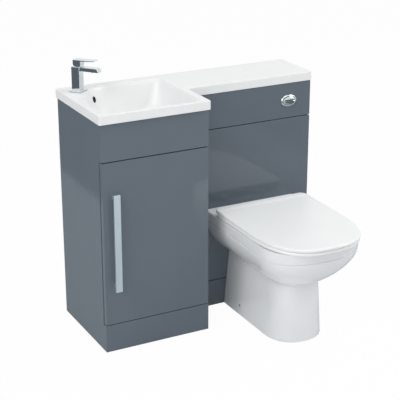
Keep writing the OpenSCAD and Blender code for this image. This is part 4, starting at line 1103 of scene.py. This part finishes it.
button = mesh_of("chromed_button_ring", [oval(x, z, FACE - out) for x, z, out in (
    (32, 22, 0), (31.9, 21.9, 0.8), (31.2, 21.2, 2.2), (30, 20, 3.3), (28.6, 18.8, 3.9),
    (27.4, 17.8, 4), (26.4, 17.1, 3.7), (25.7, 16.6, 2.9), (25.5, 16.5, 0.1))], chrome)
weld(button, button_rod(FACE - 0.05, -160, HOUSING_RADIUS))
cut(button, button_rod(FACE - 2, -164, HOUSING_BORE))
for x in (BUTTON_X - 7, BUTTON_X + 7):
    weld(button, rod((x, -166, BUTTON_Z), (x, -166, NOZZLE_TOP), NOZZLE_RADIUS, 24))
shade(button, 50)
fit(button, "unit", "chrome", "flush_button_housing")


def key_outline(side, inset):
    """Half of the oval plate, above or below the split, drawn in by inset."""
    gap = KEY_GAP + inset
    half_x, half_z = KEY_HALF_X - inset, KEY_HALF_Z - inset
    first = math.asin(gap / half_z)
    turns = [first + (math.pi - 2 * first) * i / 40 for i in range(41)]
    points = [(half_x * math.cos(t), half_z * math.sin(t)) for t in turns]
    points += [(points[-1][0] * (1 - k / 6), gap) for k in range(1, 12)]
    return [(BUTTON_X + x, BUTTON_Z + side * z) for x, z in points]


def key(name, side, node, body):
    """One key: an upright edge, an eased corner, a shallow dome, and the stem behind it."""
    rings = [[(x, FACE - out, z) for x, z in key_outline(side, inset)]
             for out, inset in ((4.2, 0), (5.2, 0), (5.6, 0.5))]
    centre = (BUTTON_X, BUTTON_Z + side * 6.5)
    for share in [i / 10 for i in range(10)]:
        ring = [mix(point, centre, share) for point in key_outline(side, 1.2)]
        rings.append([(x, FACE - 7 + DOME * (0.6 * ((x - BUTTON_X) / 25) ** 2
                                             + 0.55 * ((z - BUTTON_Z) / KEY_HALF_Z) ** 2), z)
                      for x, z in ring])
    thing = mesh_of(name, rings, chrome)
    weld(thing, button_rod(FACE - 5, FACE + 30, STEM_RADIUS, 24, side * 6))
    shade(thing, 45)
    fit(thing, body, "chrome", node)


key("chromed_full_key", 1, "flush_button_full", "full_key")
key("chromed_half_key", -1, "flush_button_half", "half_key")
print("button faces:", len(button.data.polygons))

# %% [markdown]
# ## The door handle
#
# The handle is a flat extruded aluminium bar that stands off the door on two square posts, set
# in a little from its ends. The bar and the posts are blocks, welded into one piece, and the
# edges are eased by 0.8 mm.

# %% Build the handle
handle = mesh_of("brushed_handle", block((34.5, -401, 229), (57.5, -393, 571)), aluminium)
for low_z in (239, 549):
    weld(handle, block((40, -394, low_z), (52, -371, low_z + 12)))
soften(handle, 0.8)
fit(handle, "door", "satin_aluminium", "door_handle")
print("handle faces:", len(handle.data.polygons))

# %% [markdown]
# ## The studio
#
# The unit stands on a plain white floor in a white room. The room's soft light comes from all
# round. Two big soft lamps, high on the left and on the right, give the forms their shape, and
# three weaker ones lift the top, the fronts and the left side, as in the photograph, where no
# side falls into shadow. The camera and the shiny surfaces see the floor and the room as clean
# white, and the floor still takes a faint shadow of the unit.

# %% Light the room
ROOM_LIGHT = 0.46
FLOOR_SHADOW = 0.03
FLOOR_HALF = 15
LAMP_AIM = Vector((0, 0, 0.5))
LAMP_SIZE = 2.4
LAMPS = {
    "soft_left_lamp": ((-3.6, -1.8, 3.4), 78),
    "soft_right_lamp": ((3.6, -1.3, 3.2), 68),
    "soft_top_lamp": ((0.2, -0.4, 4.8), 34),
    "soft_front_lamp": ((-2.2, -4.0, 1.0), 20),
    "soft_side_lamp": ((-4.6, -0.6, 1.6), 8),
}


def seen_directly(tree):
    """1 for rays from the camera and from shiny or clear surfaces, and 0 for diffuse ones."""
    path = add(tree, "ShaderNodeLightPath").outputs
    shiny = add(tree, "ShaderNodeMath", {0: path["Is Camera Ray"], 1: path["Is Glossy Ray"]},
                operation="MAXIMUM")
    return add(tree, "ShaderNodeMath", {0: shiny, 1: path["Is Transmission Ray"]},
               operation="MAXIMUM")


def sheet(name, low, high, z, material):
    """A level sheet between two corners, in metres."""
    mesh = bpy.data.meshes.new(name)
    mesh.from_pydata([(low[0], low[1], z), (high[0], low[1], z), (high[0], high[1], z),
                      (low[0], high[1], z)], [], [(0, 1, 2, 3)])
    mesh.materials.append(material)
    thing = bpy.data.objects.new(name, mesh)
    bpy.context.scene.collection.objects.link(thing)
    return thing


world = bpy.data.worlds.new("white_room")
bpy.context.scene.world = world
world.use_nodes = True
world.node_tree.nodes.clear()
soft = add(world, "ShaderNodeBackground", {"Color": linear("#F9FAFD"), "Strength": ROOM_LIGHT})
clean = add(world, "ShaderNodeBackground", {"Color": linear("#FFFFFF"), "Strength": 1.0})
either = add(world, "ShaderNodeMixShader", {"Fac": seen_directly(world), 1: soft, 2: clean})
add(world, "ShaderNodeOutputWorld", {"Surface": either})

floor_finish = finish("matt_white_studio_floor")
paint = add(floor_finish, "ShaderNodeBsdfDiffuse", {"Color": linear("#F2F2F2")})
glow = add(floor_finish, "ShaderNodeEmission", {"Color": linear("#FFFFFF"), "Strength": 1.0})
unshaded = add(floor_finish, "ShaderNodeMath", {
    0: seen_directly(floor_finish), 1: 1 - FLOOR_SHADOW}, operation="MULTIPLY")
blend = add(floor_finish, "ShaderNodeMixShader", {"Fac": unshaded, 1: paint, 2: glow})
add(floor_finish, "ShaderNodeOutputMaterial", {"Surface": blend})
floor = sheet("studio_floor", (-FLOOR_HALF, -FLOOR_HALF), (FLOOR_HALF, FLOOR_HALF), 0,
              floor_finish)

for name, (place, watts) in LAMPS.items():
    lamp_data = bpy.data.lights.new(name, "AREA")
    lamp_data.shape = "SQUARE"
    lamp_data.size = LAMP_SIZE
    lamp_data.energy = watts
    lamp = bpy.data.objects.new(name, lamp_data)
    bpy.context.scene.collection.objects.link(lamp)
    lamp.location = place
    point_at(lamp, LAMP_AIM - Vector(place))
print("room light", ROOM_LIGHT, "lamps", list(LAMPS))

# %% [markdown]
# Three grey sheets lie side by side just above the floor, and only mirrors see them. They are
# painted reflection: each glows evenly in its own grey and stands for nothing in the room. In the
# photograph the left faces of the tap, the side of the handle, the lower key of the button and the
# lacquered fronts all mirror something dark below them, and the sheets paint that dark
# reflection. The one in front of the door is paler, and paints the bright reflection on the
# handle.

# %% Lay the sheets of painted reflection
PAINTED_REFLECTION_SHEETS = {
    "left": ((-5.8, -3.0), (-1.0, 3.8), "#666E74"),
    "middle": ((-1.0, -3.0), (1.3, 2.6), "#A4ACB2"),
    "right": ((1.3, -3.0), (2.4, 2.6), "#666E74"),
}
for name, (low, high, colour) in PAINTED_REFLECTION_SHEETS.items():
    reflection_paint = finish("painted_reflection_" + name)
    # Each sheet glows evenly in its grey: painted reflection that only shiny surfaces see.
    even = add(reflection_paint, "ShaderNodeEmission", {"Color": linear(colour), "Strength": 1.0})
    add(reflection_paint, "ShaderNodeOutputMaterial", {"Surface": even})
    reflection_sheet = sheet("painted_reflection_sheet_" + name, low, high, MM, reflection_paint)
    reflection_sheet.visible_camera = False
    reflection_sheet.visible_diffuse = False
    reflection_sheet.visible_transmission = False
    reflection_sheet.visible_shadow = False
print("painted_reflection_sheets:", list(PAINTED_REFLECTION_SHEETS))
